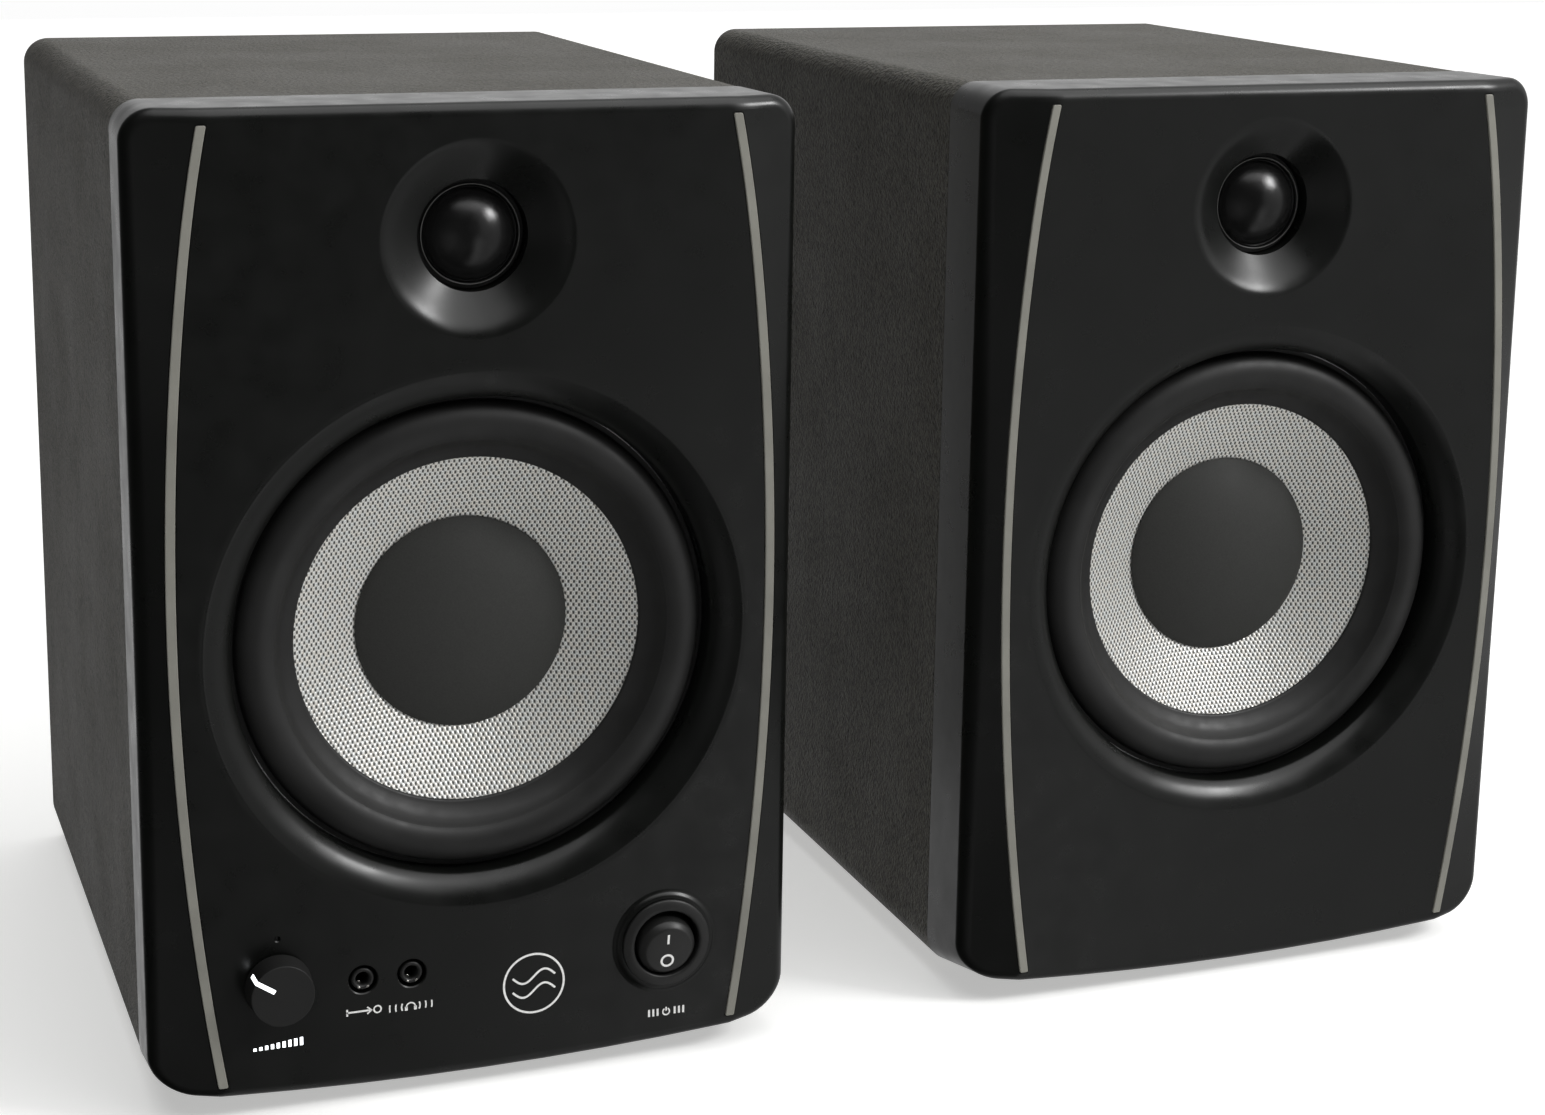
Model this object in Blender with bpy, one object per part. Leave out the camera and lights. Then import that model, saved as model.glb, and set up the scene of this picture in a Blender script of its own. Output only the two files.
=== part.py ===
"""A pair of powered two-way desktop speakers: left_* holds the amplifier and controls, right_* is passive.

World frame: metres, +Z up, the fronts face -Y, the left speaker stands at -X. Each speaker is drawn in
its own frame, whose origin is on the floor under the middle of its front face, with y as depth.
"""

import math

import bmesh
import bpy
from mathutils import Matrix, Vector

MM = 0.001

# Placing of the pair
SPACING = 241.8 * MM
FRONTMOST = -8.0 * MM
BACKMOST = 250.0 * MM
GAP = 0.3 * MM

# Cabinet: a wrapped four-sided sleeve on two foot strips, with a back board let into it
FOOT_HEIGHT = 2.2 * MM
CABINET_HALF = 91.2 * MM
CABINET_BOTTOM = FOOT_HEIGHT + GAP
CABINET_TOP = 277.2 * MM
CABINET_CORNER_LOW = 10.0 * MM
CABINET_CORNER_HIGH = 8.0 * MM
SLEEVE_FRONT = 32.3 * MM
SLEEVE_BACK = 238.5 * MM
WALL = 12.0 * MM
BOARD_THICK = 12.0 * MM

# Front panel: a flat middle between two bowed trim strips, wings that fall back outside them
PANEL_HALF = 92.5 * MM
PANEL_BOTTOM = 3.7 * MM
PANEL_TOP = 277.7 * MM
PANEL_CORNER_LOW = 12.5 * MM
PANEL_CORNER_HIGH = 9.0 * MM
PANEL_BACK = SLEEVE_FRONT - GAP
PANEL_THICK = 12.0 * MM
PANEL_SIDE_WALL = 6.0 * MM
SEAM_PROUD = 0.2 * MM
EDGE_ROUND = 3.5 * MM
WING_FALL = 5.5 * MM
BOTTOM_BOW = 3.2 * MM
BOW_FADE = 25.0 * MM

# Trim strips: arcs that bulge outwards
STRIP_MID_X = 83.75 * MM
STRIP_RADIUS = 835.8 * MM
STRIP_MID_Z = 141.8 * MM
STRIP_LOW = 10.4 * MM
STRIP_HIGH = 273.4 * MM
STRIP_HOOK_START = 238.0 * MM
STRIP_HOOK = 0.7 * MM
STRIP_HALF = 1.3 * MM
STRIP_PROUD = 0.4 * MM
GROOVE_DEPTH = 1.2 * MM

# Woofer
WOOFER_Z = 130.0 * MM
WOOFER_HOLE = 67.8 * MM
WOOFER_FLARE = 75.0 * MM
CONE_SLOPE = 0.466
CONE_INNER = 16.3 * MM
CONE_OUTER = 53.5 * MM
CONE_DEPTH = 29.4 * MM
CONE_THICK = 0.9 * MM
CAP_RADIUS = 30.4 * MM
CAP_RIM_DEPTH = 22.4 * MM
CAP_RISE = 7.4 * MM
ROLL_MID = 60.0 * MM
ROLL_HALF = 6.0 * MM
ROLL_RISE = 5.3 * MM
ROLL_DEPTH = 11.0 * MM
LIP_INNER = 49.2 * MM
LIP_OUTER = 67.3 * MM
SKIN = 0.6 * MM
COIL_RADIUS = 15.3 * MM

# Tweeter
TWEETER_Z = 241.5 * MM
TWEETER_HOLE = 15.3 * MM
DOME_RADIUS = 12.4 * MM
DOME_BASE = 10.4 * MM
DOME_RISE = 6.4 * MM

# Bass port in the back board
PORT_Z = 214.0 * MM
PORT_BORE = 18.0 * MM
PORT_HOLE = 28.0 * MM
PORT_INNER_END = 150.0 * MM

# Controls on the left speaker's front
KNOB_X = -58.0 * MM
KNOB_Z = 38.3 * MM
KNOB_RADIUS = 9.2 * MM
KNOB_FACE = 8.65 * MM
KNOB_BACK = -0.6 * MM
KNOB_ANGLE = math.radians(-56.0)
POINTER_HALF = 0.55 * MM
POINTER_END = -3.0 * MM
SHAFT_RADIUS = 3.0 * MM
LED_X = -57.8 * MM
LED_Z = 51.6 * MM
LED_HOLE = 0.75 * MM
AUX_X = -34.4 * MM
PHONES_X = -20.7 * MM
JACK_Z = 36.6 * MM
JACK_HOLE = 4.0 * MM
ROCKER_X = 53.2 * MM
ROCKER_Z = 36.3 * MM
ROCKER_HOLE = 12.2 * MM
ROCKER_MOUTH = 9.6 * MM
ROCKER_PIVOT = 5.0 * MM
ROCKER_TILT = math.radians(9.0)
BOSS_RADIUS = 14.9 * MM
BOSS_RISE = 1.1 * MM

# Back of the left speaker: amplifier plate and what it carries
PLATE_HALF = 58.0 * MM
PLATE_LOW = 14.0 * MM
PLATE_HIGH = 164.0 * MM
PLATE_THICK = 2.0 * MM
PLATE_OPENING = 8.0 * MM
INLET_X = 36.0 * MM
INLET_Z = 36.0 * MM
INPUT_X = -34.0 * MM
INPUT_Z = 140.0 * MM

# Spring clips for the speaker wire
CLIPS_LEFT_X = 26.0 * MM
CLIPS_LEFT_Z = 128.0 * MM
CLIPS_RIGHT_Z = 96.0 * MM
CLIP_HALF_PITCH = 9.5 * MM
CLIP_PIVOT_DROP = 4.0 * MM
CLIP_INSET = 2.4 * MM

FINE = 36
MEDIUM = 24
COARSE = 14

COLOURS = {
    "wrap": ((0.045, 0.042, 0.040, 1.0), 0.75, 0.0),
    "panel": ((0.020, 0.020, 0.019, 1.0), 0.42, 0.0),
    "trim": ((0.300, 0.290, 0.275, 1.0), 0.45, 0.3),
    "rubber": ((0.012, 0.012, 0.012, 1.0), 0.80, 0.0),
    "cone": ((0.420, 0.420, 0.420, 1.0), 0.40, 0.2),
    "cap": ((0.030, 0.030, 0.028, 1.0), 0.65, 0.0),
    "steel": ((0.350, 0.350, 0.360, 1.0), 0.35, 0.9),
    "ferrite": ((0.050, 0.050, 0.052, 1.0), 0.60, 0.0),
    "spider": ((0.550, 0.380, 0.160, 1.0), 0.90, 0.0),
    "copper": ((0.600, 0.250, 0.100, 1.0), 0.35, 0.9),
    "silk": ((0.008, 0.008, 0.008, 1.0), 0.40, 0.0),
    "plastic": ((0.016, 0.016, 0.016, 1.0), 0.45, 0.0),
    "glow": ((0.900, 0.950, 1.000, 1.0), 0.40, 0.0),
    "plate": ((0.060, 0.060, 0.062, 1.0), 0.50, 0.6),
    "board": ((0.030, 0.150, 0.060, 1.0), 0.50, 0.0),
    "red": ((0.500, 0.020, 0.020, 1.0), 0.40, 0.0),
    "black": ((0.020, 0.020, 0.020, 1.0), 0.40, 0.0),
}


# ---------------------------------------------------------------- helpers

def clear_scene():
    for obj in list(bpy.data.objects):
        bpy.data.objects.remove(obj, do_unlink=True)


def material(key):
    found = bpy.data.materials.get(key)
    if found:
        return found
    colour, roughness, metallic = COLOURS[key]
    made = bpy.data.materials.new(key)
    made.use_nodes = True
    made.diffuse_color = colour
    shader = made.node_tree.nodes["Principled BSDF"]
    shader.inputs["Base Color"].default_value = colour
    shader.inputs["Roughness"].default_value = roughness
    shader.inputs["Metallic"].default_value = metallic
    return made


def make_object(name, bm, parent, look, location=(0.0, 0.0, 0.0), angle=None):
    """Turns a bmesh into an object of the speaker that parent stands for."""
    bmesh.ops.remove_doubles(bm, verts=bm.verts, dist=1e-7)
    bmesh.ops.recalc_face_normals(bm, faces=bm.faces)
    mesh = bpy.data.meshes.new(name)
    bm.to_mesh(mesh)
    bm.free()
    mesh.shade_smooth()
    mesh.set_sharp_from_angle(angle=math.radians(35.0))
    mesh.materials.append(material(look))
    obj = bpy.data.objects.new(name, mesh)
    bpy.context.scene.collection.objects.link(obj)
    obj.parent = parent
    obj.location = location
    if angle is not None:
        obj.rotation_euler = angle
    return obj


def as_cutter(obj):
    obj.hide_render = True
    obj.display_type = "WIRE"
    return obj


def combine(target, tool, operation="DIFFERENCE"):
    modifier = target.modifiers.new(operation.lower(), "BOOLEAN")
    modifier.operation = operation
    modifier.solver = "EXACT"
    modifier.object = as_cutter(tool)


def cut(target, tool):
    combine(target, tool, "DIFFERENCE")


def turned(profile, steps):
    """A closed profile of (radius, depth) points, spun about the Y axis."""
    bm = bmesh.new()
    verts = [bm.verts.new((r, y, 0.0)) for r, y in profile]
    edges = []
    for i, vert in enumerate(verts):
        after = verts[(i + 1) % len(verts)]
        if vert.co.x > 1e-6 or after.co.x > 1e-6:
            edges.append(bm.edges.new((vert, after)))
    bmesh.ops.spin(
        bm,
        geom=verts + edges,
        cent=(0.0, 0.0, 0.0),
        axis=(0.0, 1.0, 0.0),
        angle=2.0 * math.pi,
        steps=steps,
    )
    bmesh.ops.remove_doubles(bm, verts=bm.verts, dist=1e-6)
    return bm


def prism(outline, front, back):
    """A closed outline of (x, z) points, extruded from one depth to another."""
    bm = bmesh.new()
    near = [bm.verts.new((x, front, z)) for x, z in outline]
    bm.faces.new(near)
    far = bmesh.ops.extrude_face_region(bm, geom=bm.faces[:])
    moved = [v for v in far["geom"] if isinstance(v, bmesh.types.BMVert)]
    bmesh.ops.translate(bm, verts=moved, vec=(0.0, back - front, 0.0))
    return bm


def block(x0, x1, y0, y1, z0, z1):
    bm = bmesh.new()
    middle = Vector(((x0 + x1) / 2, (y0 + y1) / 2, (z0 + z1) / 2))
    size = Matrix.Diagonal((x1 - x0, y1 - y0, z1 - z0, 1.0))
    bmesh.ops.create_cube(bm, size=1.0, matrix=Matrix.Translation(middle) @ size)
    return bm


def arc(centre, radius, start, end, steps):
    """Points on an arc, angles in degrees."""
    points = []
    for i in range(steps + 1):
        a = math.radians(start + (end - start) * i / steps)
        points.append((centre[0] + radius * math.cos(a), centre[1] + radius * math.sin(a)))
    return points


def cap_arc(radius, rim_depth, rise, steps):
    """A shallow spherical cap's outline, from its rim to its middle."""
    sphere = (radius**2 + rise**2) / (2.0 * rise)
    centre = rim_depth - rise + sphere
    points = []
    for i in range(steps + 1):
        r = radius * (1.0 - i / steps)
        points.append((r, centre - math.sqrt(sphere**2 - r**2)))
    return points


# ---------------------------------------------------------------- outlines

def side_points(half, low, high, corner_low, corner_high, arc_steps=4, straight_steps=6):
    """The right-hand side of a rounded outline, bottom to top: (x, z, inward x, inward z)."""
    points = []
    for i in range(arc_steps + 1):
        a = math.radians(-90.0 + 90.0 * i / arc_steps)
        nx, nz = math.cos(a), math.sin(a)
        x = half - corner_low + corner_low * nx
        points.append((x, low + corner_low + corner_low * nz, -nx, -nz))
    run = high - corner_high - (low + corner_low)
    for i in range(1, straight_steps):
        points.append((half, low + corner_low + run * i / straight_steps, -1.0, 0.0))
    for i in range(arc_steps + 1):
        a = math.radians(90.0 * i / arc_steps)
        nx, nz = math.cos(a), math.sin(a)
        x = half - corner_high + corner_high * nx
        points.append((x, high - corner_high + corner_high * nz, -nx, -nz))
    return points


def rounded_outline(half, low, high, corner_low, corner_high, arc_steps=5):
    side = side_points(half, low, high, corner_low, corner_high, arc_steps, 1)
    right = [(x, z) for x, z, _, _ in side]
    return right + [(-x, z) for x, z in reversed(right)]


def rectangle(half, low, high):
    return [(-half, low), (half, low), (half, high), (-half, high)]


def ridge_x(z):
    """Half the distance between the two trim strips at a height."""
    sagitta = STRIP_RADIUS - math.sqrt(STRIP_RADIUS**2 - (z - STRIP_MID_Z) ** 2)
    hook = max(0.0, (z - STRIP_HOOK_START) / (STRIP_HIGH - STRIP_HOOK_START))
    return STRIP_MID_X - sagitta - STRIP_HOOK * hook**2


def wing_depth(x, z):
    """How far the front has fallen back at a point outside the strips."""
    start = ridge_x(z) + STRIP_HALF + GAP
    if abs(x) <= start:
        return 0.0
    return WING_FALL * (abs(x) - start) / (PANEL_HALF - start)


def bowed(x, z):
    """The height of a panel point once its lower edge is bowed."""
    fade = max(0.0, 1.0 - (z - PANEL_BOTTOM) / BOW_FADE)
    return z + BOTTOM_BOW * (x / (80.0 * MM)) ** 2 * fade


# ---------------------------------------------------------------- cabinet

def cabinet_outline():
    return rounded_outline(
        CABINET_HALF, CABINET_BOTTOM, CABINET_TOP, CABINET_CORNER_LOW, CABINET_CORNER_HIGH, 6
    )


def build_sleeve(side, parent):
    sleeve = make_object(
        f"{side}_cabinet_sleeve", prism(cabinet_outline(), SLEEVE_FRONT, SLEEVE_BACK), parent, "wrap"
    )
    inside = rectangle(CABINET_HALF - WALL, CABINET_BOTTOM + WALL, CABINET_TOP - WALL)
    hollow = prism(inside, SLEEVE_FRONT - WALL, SLEEVE_BACK + WALL)
    cut(sleeve, make_object(f"{side}_sleeve_hollow", hollow, parent, "wrap"))


def build_back_board(side, parent):
    outline = rectangle(
        CABINET_HALF - WALL - GAP, CABINET_BOTTOM + WALL + GAP, CABINET_TOP - WALL - GAP
    )
    board = make_object(
        f"{side}_back_board", prism(outline, SLEEVE_BACK - BOARD_THICK, SLEEVE_BACK), parent, "wrap"
    )
    through = (SLEEVE_BACK - 2 * BOARD_THICK, SLEEVE_BACK + BOARD_THICK)
    hole = turned(
        [(0.0, through[0]), (PORT_HOLE, through[0]), (PORT_HOLE, through[1]), (0.0, through[1])],
        MEDIUM,
    )
    cut(board, make_object(f"{side}_port_hole", hole, parent, "wrap", (0.0, 0.0, PORT_Z)))
    if side == "left":
        reach = PLATE_HALF - PLATE_OPENING
        opening = block(
            -reach, reach, *through, PLATE_LOW + PLATE_OPENING, PLATE_HIGH - PLATE_OPENING
        )
    else:
        opening = block(-20.5 * MM, 20.5 * MM, *through, *clip_body_heights(CLIPS_RIGHT_Z, GAP))
    cut(board, make_object(f"{side}_board_opening", opening, parent, "wrap"))


def build_feet(side, parent):
    for place, depth in (("front", 50.0 * MM), ("rear", 212.0 * MM)):
        half_width = 7.0 * MM
        bm = block(-74.0 * MM, 74.0 * MM, -half_width, half_width, 0.0, FOOT_HEIGHT)
        make_object(f"{side}_{place}_foot_strip", bm, parent, "rubber", (0.0, depth, 0.0))


def build_port(side, parent):
    flange = SLEEVE_BACK + GAP
    profile = [
        (PORT_BORE, PORT_INNER_END),
        (PORT_BORE, flange - 11.0 * MM),
        (19.5 * MM, flange - 4.5 * MM),
        (25.0 * MM, flange + 2.2 * MM),
        (31.5 * MM, flange + 1.6 * MM),
        (31.5 * MM, flange),
        (PORT_HOLE - 2 * GAP, flange),
        (20.0 * MM, flange - 14.0 * MM),
        (20.0 * MM, PORT_INNER_END),
    ]
    make_object(f"{side}_port_tube", turned(profile, MEDIUM), parent, "plastic", (0.0, 0.0, PORT_Z))


# ---------------------------------------------------------------- front panel

def panel_columns(half, z):
    ridge = ridge_x(z)
    inner, outer = ridge - STRIP_HALF - GAP, ridge + STRIP_HALF + GAP
    return [-half, -outer, -inner, inner, outer, half]


def panel_mesh():
    """Face grid, rounded front edge in rings, side band and a flat back, as one closed mesh."""
    side = side_points(PANEL_HALF, PANEL_BOTTOM, PANEL_TOP, PANEL_CORNER_LOW, PANEL_CORNER_HIGH)
    seam = side_points(
        CABINET_HALF + SEAM_PROUD,
        CABINET_BOTTOM + SEAM_PROUD,
        CABINET_TOP + SEAM_PROUD,
        CABINET_CORNER_LOW,
        CABINET_CORNER_HIGH,
    )
    rows, last = len(side), len(side) - 1
    count = len(panel_columns(1.0, PANEL_BOTTOM))
    border = [(0, j) for j in range(count)]
    border += [(i, count - 1) for i in range(1, rows)]
    border += [(last, j) for j in range(count - 2, -1, -1)]
    border += [(i, 0) for i in range(rows - 2, 0, -1)]
    bm = bmesh.new()

    def outline_point(i, j, inset):
        x, z, nx, nz = side[i]
        if 0 < j < count - 1:
            x = panel_columns(x, z)[j]
            return x, z + nz * inset
        sign = 1.0 if j else -1.0
        return sign * (x + nx * inset), z + nz * inset

    def vertex(x, z, depth):
        return bm.verts.new((x, wing_depth(x, z) + depth, bowed(x, z)))

    loops = []
    for inset in (0.0, 0.5, 1.8):
        inset_m = inset * MM
        depth = EDGE_ROUND - math.sqrt(EDGE_ROUND**2 - (EDGE_ROUND - inset_m) ** 2)
        loops.append([vertex(*outline_point(i, j, inset_m), depth) for i, j in border])
    grid = {}
    for i in range(rows):
        x, z, nx, nz = side[i]
        half, height = x + nx * EDGE_ROUND, z + nz * EDGE_ROUND
        for j, column in enumerate(panel_columns(half, height)):
            grid[i, j] = vertex(column, height, 0.0)
    loops.append([grid[place] for place in border])
    seam_loop = []
    for i, j in border:
        front_x = outline_point(i, j, 0.0)[0]
        share = front_x / side[i][0]
        seam_loop.append(bm.verts.new((share * seam[i][0], PANEL_BACK, seam[i][1])))
    loops.insert(0, seam_loop)
    for outer, inner in zip(loops, loops[1:]):
        for k in range(len(border)):
            n = (k + 1) % len(border)
            bm.faces.new((outer[k], outer[n], inner[n], inner[k]))
    for i in range(rows - 1):
        for j in range(count - 1):
            corners = (grid[i, j], grid[i, j + 1], grid[i + 1, j + 1], grid[i + 1, j])
            bm.faces.new(corners)
    bm.faces.new(reversed(seam_loop))
    bmesh.ops.triangulate(bm, faces=[f for f in bm.faces if len(f.verts) == 4])
    return bm


def strip_outline(half, low, high):
    """A bowed band of the given half width, bulging towards +X."""
    steps = 10
    heights = [low + (high - low) * i / steps for i in range(steps + 1)]
    outer = [(ridge_x(z) + half, z) for z in heights]
    inner = [(ridge_x(z) - half, z) for z in reversed(heights)]
    return outer + inner


def mirrored(outline):
    return [(-x, z) for x, z in outline]


def build_trim(side, parent, panel):
    for place, flip in (("left", True), ("right", False)):
        groove = strip_outline(STRIP_HALF + GAP, STRIP_LOW - GAP, STRIP_HIGH + GAP)
        band = strip_outline(STRIP_HALF, STRIP_LOW, STRIP_HIGH)
        if flip:
            groove, band = mirrored(groove), mirrored(band)
        cutter = prism(groove, -5.0 * MM, GROOVE_DEPTH)
        cut(panel, make_object(f"{side}_{place}_groove", cutter, parent, "trim"))
        strip = prism(band, -STRIP_PROUD, GROOVE_DEPTH - GAP)
        make_object(f"{side}_trim_strip_{place}", strip, parent, "trim")


def woofer_flare():
    return [
        (0.0, -2.0 * MM),
        (WOOFER_FLARE + 3.0 * MM, -2.0 * MM),
        (WOOFER_FLARE, 0.12 * MM),
        (72.6 * MM, 1.0 * MM),
        (69.7 * MM, 3.0 * MM),
        (WOOFER_HOLE, 5.6 * MM),
        (WOOFER_HOLE, PANEL_THICK + 2.0 * MM),
        (0.0, PANEL_THICK + 2.0 * MM),
    ]


def tweeter_dish():
    return [
        (0.0, -2.0 * MM),
        (27.5 * MM, -2.0 * MM),
        (25.0 * MM, 0.12 * MM),
        (23.0 * MM, 0.9 * MM),
        (19.0 * MM, 3.8 * MM),
        (TWEETER_HOLE, 7.2 * MM),
        (TWEETER_HOLE, PANEL_THICK + 2.0 * MM),
        (0.0, PANEL_THICK + 2.0 * MM),
    ]


def round_hole(radius):
    front, back = -5.0 * MM, PANEL_THICK + 5.0 * MM
    return [(0.0, front), (radius, front), (radius, back), (0.0, back)]


def rocker_boss():
    """A low round swelling of the panel that the switch's bezel sits on."""
    root = 2.0 * MM
    return [
        (0.0, -BOSS_RISE),
        (BOSS_RADIUS - 1.5 * MM, -BOSS_RISE),
        (BOSS_RADIUS - 0.7 * MM, -0.85 * BOSS_RISE),
        (BOSS_RADIUS - 0.2 * MM, -0.45 * BOSS_RISE),
        (BOSS_RADIUS + 0.1 * MM, 0.4 * MM),
        (BOSS_RADIUS - 1.0 * MM, root),
        (0.0, root),
    ]


def build_panel(side, parent):
    panel = make_object(f"{side}_front_panel", panel_mesh(), parent, "panel")
    inside = rounded_outline(
        CABINET_HALF + SEAM_PROUD - PANEL_SIDE_WALL,
        PANEL_BOTTOM + PANEL_SIDE_WALL,
        PANEL_TOP - PANEL_SIDE_WALL,
        6.0 * MM,
        6.0 * MM,
        3,
    )
    hollow = prism(inside, PANEL_THICK, PANEL_BACK + WALL)
    cut(panel, make_object(f"{side}_panel_hollow", hollow, parent, "panel"))
    places = [
        ("woofer_flare", woofer_flare(), FINE, 0.0, WOOFER_Z),
        ("tweeter_dish", tweeter_dish(), FINE, 0.0, TWEETER_Z),
    ]
    if side == "left":
        place, turn = (ROCKER_X, 0.0, ROCKER_Z), (0.0, math.radians(5.0), 0.0)
        boss = turned(rocker_boss(), MEDIUM)
        boss = make_object("left_rocker_boss", boss, parent, "panel", place, turn)
        combine(panel, boss, "UNION")
        places += [
            ("shaft_hole", round_hole(SHAFT_RADIUS + 2 * GAP), COARSE, KNOB_X, KNOB_Z),
            ("led_hole", round_hole(LED_HOLE), 12, LED_X, LED_Z),
            ("aux_hole", round_hole(JACK_HOLE), COARSE, AUX_X, JACK_Z),
            ("phones_hole", round_hole(JACK_HOLE), COARSE, PHONES_X, JACK_Z),
            ("rocker_hole", round_hole(ROCKER_HOLE), MEDIUM, ROCKER_X, ROCKER_Z),
        ]
    for name, profile, steps, x, z in places:
        tool = make_object(f"{side}_{name}", turned(profile, steps), parent, "panel", (x, 0.0, z))
        cut(panel, tool)
    build_trim(side, parent, panel)


# ---------------------------------------------------------------- woofer

def cone_front(r):
    return CONE_DEPTH - CONE_SLOPE * (r - CONE_INNER)


def build_woofer_frame(side, parent, centre):
    flange = PANEL_THICK + GAP
    profile = [
        (76.0 * MM, flange),
        (76.0 * MM, flange + 3.0 * MM),
        (66.0 * MM, flange + 3.0 * MM),
        (61.5 * MM, 21.0 * MM),
        (46.5 * MM, 45.0 * MM),
        (43.0 * MM, 53.0 * MM),
        (17.2 * MM, 53.0 * MM),
        (17.2 * MM, 46.5 * MM),
        (41.5 * MM, 46.5 * MM),
        (44.5 * MM, 43.0 * MM),
        (59.5 * MM, 19.0 * MM),
        (62.5 * MM, flange),
    ]
    frame = make_object(f"{side}_woofer_frame", turned(profile, MEDIUM), parent, "steel", centre)
    for number in range(2):
        window = block(-90.0 * MM, 90.0 * MM, 23.0 * MM, 31.0 * MM, -19.0 * MM, 19.0 * MM)
        turn = (0.0, math.radians(90.0 * number), 0.0)
        cut(frame, make_object(f"{side}_window_{number}", window, parent, "steel", centre, turn))


def half_roll(half, rise, start, end, steps):
    points = []
    for i in range(steps + 1):
        a = math.radians(start + (end - start) * i / steps)
        points.append((ROLL_MID + half * math.cos(a), ROLL_DEPTH + rise * math.sin(a)))
    return points


def build_surround(side, parent, centre):
    """Half-roll rubber edge: a lip glued on the cone, the roll and an outer lip on the frame."""
    glued = cone_front(LIP_INNER) - GAP
    front = [(LIP_INNER, glued - SKIN)]
    front += half_roll(ROLL_HALF, ROLL_RISE, 180.0, 360.0, 5)
    front += [(LIP_OUTER, ROLL_DEPTH)]
    back = [(LIP_OUTER, ROLL_DEPTH + SKIN), (ROLL_MID + ROLL_HALF - SKIN, ROLL_DEPTH + SKIN)]
    back += half_roll(ROLL_HALF - SKIN, ROLL_RISE - SKIN, 345.0, 195.0, 3)
    back += [(ROLL_MID - ROLL_HALF + 0.2 * MM, ROLL_DEPTH + 0.45 * MM), (LIP_INNER, glued)]
    make_object(f"{side}_woofer_surround", turned(front + back, FINE), parent, "rubber", centre)


def build_cone(side, parent, centre):
    profile = [
        (CONE_INNER, cone_front(CONE_INNER)),
        (CONE_OUTER, cone_front(CONE_OUTER)),
        (CONE_OUTER, cone_front(CONE_OUTER) + CONE_THICK),
        (CONE_INNER, cone_front(CONE_INNER) + CONE_THICK),
    ]
    make_object(f"{side}_woofer_cone", turned(profile, FINE), parent, "cone", centre)
    outer = cap_arc(CAP_RADIUS, CAP_RIM_DEPTH, CAP_RISE, 4)
    inner = cap_arc(CAP_RADIUS - SKIN, CAP_RIM_DEPTH + 0.2 * MM, CAP_RISE - 0.6 * MM, 3)
    cap = turned(outer + list(reversed(inner)), MEDIUM)
    make_object(f"{side}_dust_cap", cap, parent, "cap", centre)


def build_spider(side, parent, centre):
    """Corrugated centring disc behind the cone."""
    inner, outer, waves, depth = CONE_INNER + 0.2 * MM, 49.4 * MM, 3, 33.6 * MM
    steps = 2 * waves - 1
    front = []
    for i in range(steps + 1):
        swing = 0.9 * MM if i % 2 else -0.9 * MM
        front.append((inner + (outer - inner) * i / steps, depth + swing))
    back = [(r, y + SKIN) for r, y in reversed(front)]
    make_object(f"{side}_spider", turned(front + back, MEDIUM), parent, "spider", centre)


def build_motor(side, parent, centre):
    coil = [
        (COIL_RADIUS, 29.2 * MM),
        (COIL_RADIUS + 0.7 * MM, 29.2 * MM),
        (COIL_RADIUS + 0.7 * MM, 45.0 * MM),
        (COIL_RADIUS + 1.1 * MM, 45.0 * MM),
        (COIL_RADIUS + 1.1 * MM, 58.0 * MM),
        (COIL_RADIUS, 58.0 * MM),
    ]
    make_object(f"{side}_voice_coil", turned(coil, MEDIUM), parent, "copper", centre)
    magnet = [
        (24.0 * MM, 53.3 * MM),
        (42.5 * MM, 53.3 * MM),
        (42.5 * MM, 69.0 * MM),
        (24.0 * MM, 69.0 * MM),
    ]
    make_object(f"{side}_woofer_magnet", turned(magnet, MEDIUM), parent, "ferrite", centre)
    yoke = [
        (0.0, 47.0 * MM),
        (14.6 * MM, 47.0 * MM),
        (14.6 * MM, 69.3 * MM),
        (40.0 * MM, 69.3 * MM),
        (40.0 * MM, 74.5 * MM),
        (0.0, 74.5 * MM),
    ]
    make_object(f"{side}_woofer_yoke", turned(yoke, MEDIUM), parent, "steel", centre)


def build_woofer(side, parent):
    centre = (0.0, 0.0, WOOFER_Z)
    build_woofer_frame(side, parent, centre)
    build_surround(side, parent, centre)
    build_cone(side, parent, centre)
    build_spider(side, parent, centre)
    build_motor(side, parent, centre)


# ---------------------------------------------------------------- tweeter

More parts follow.
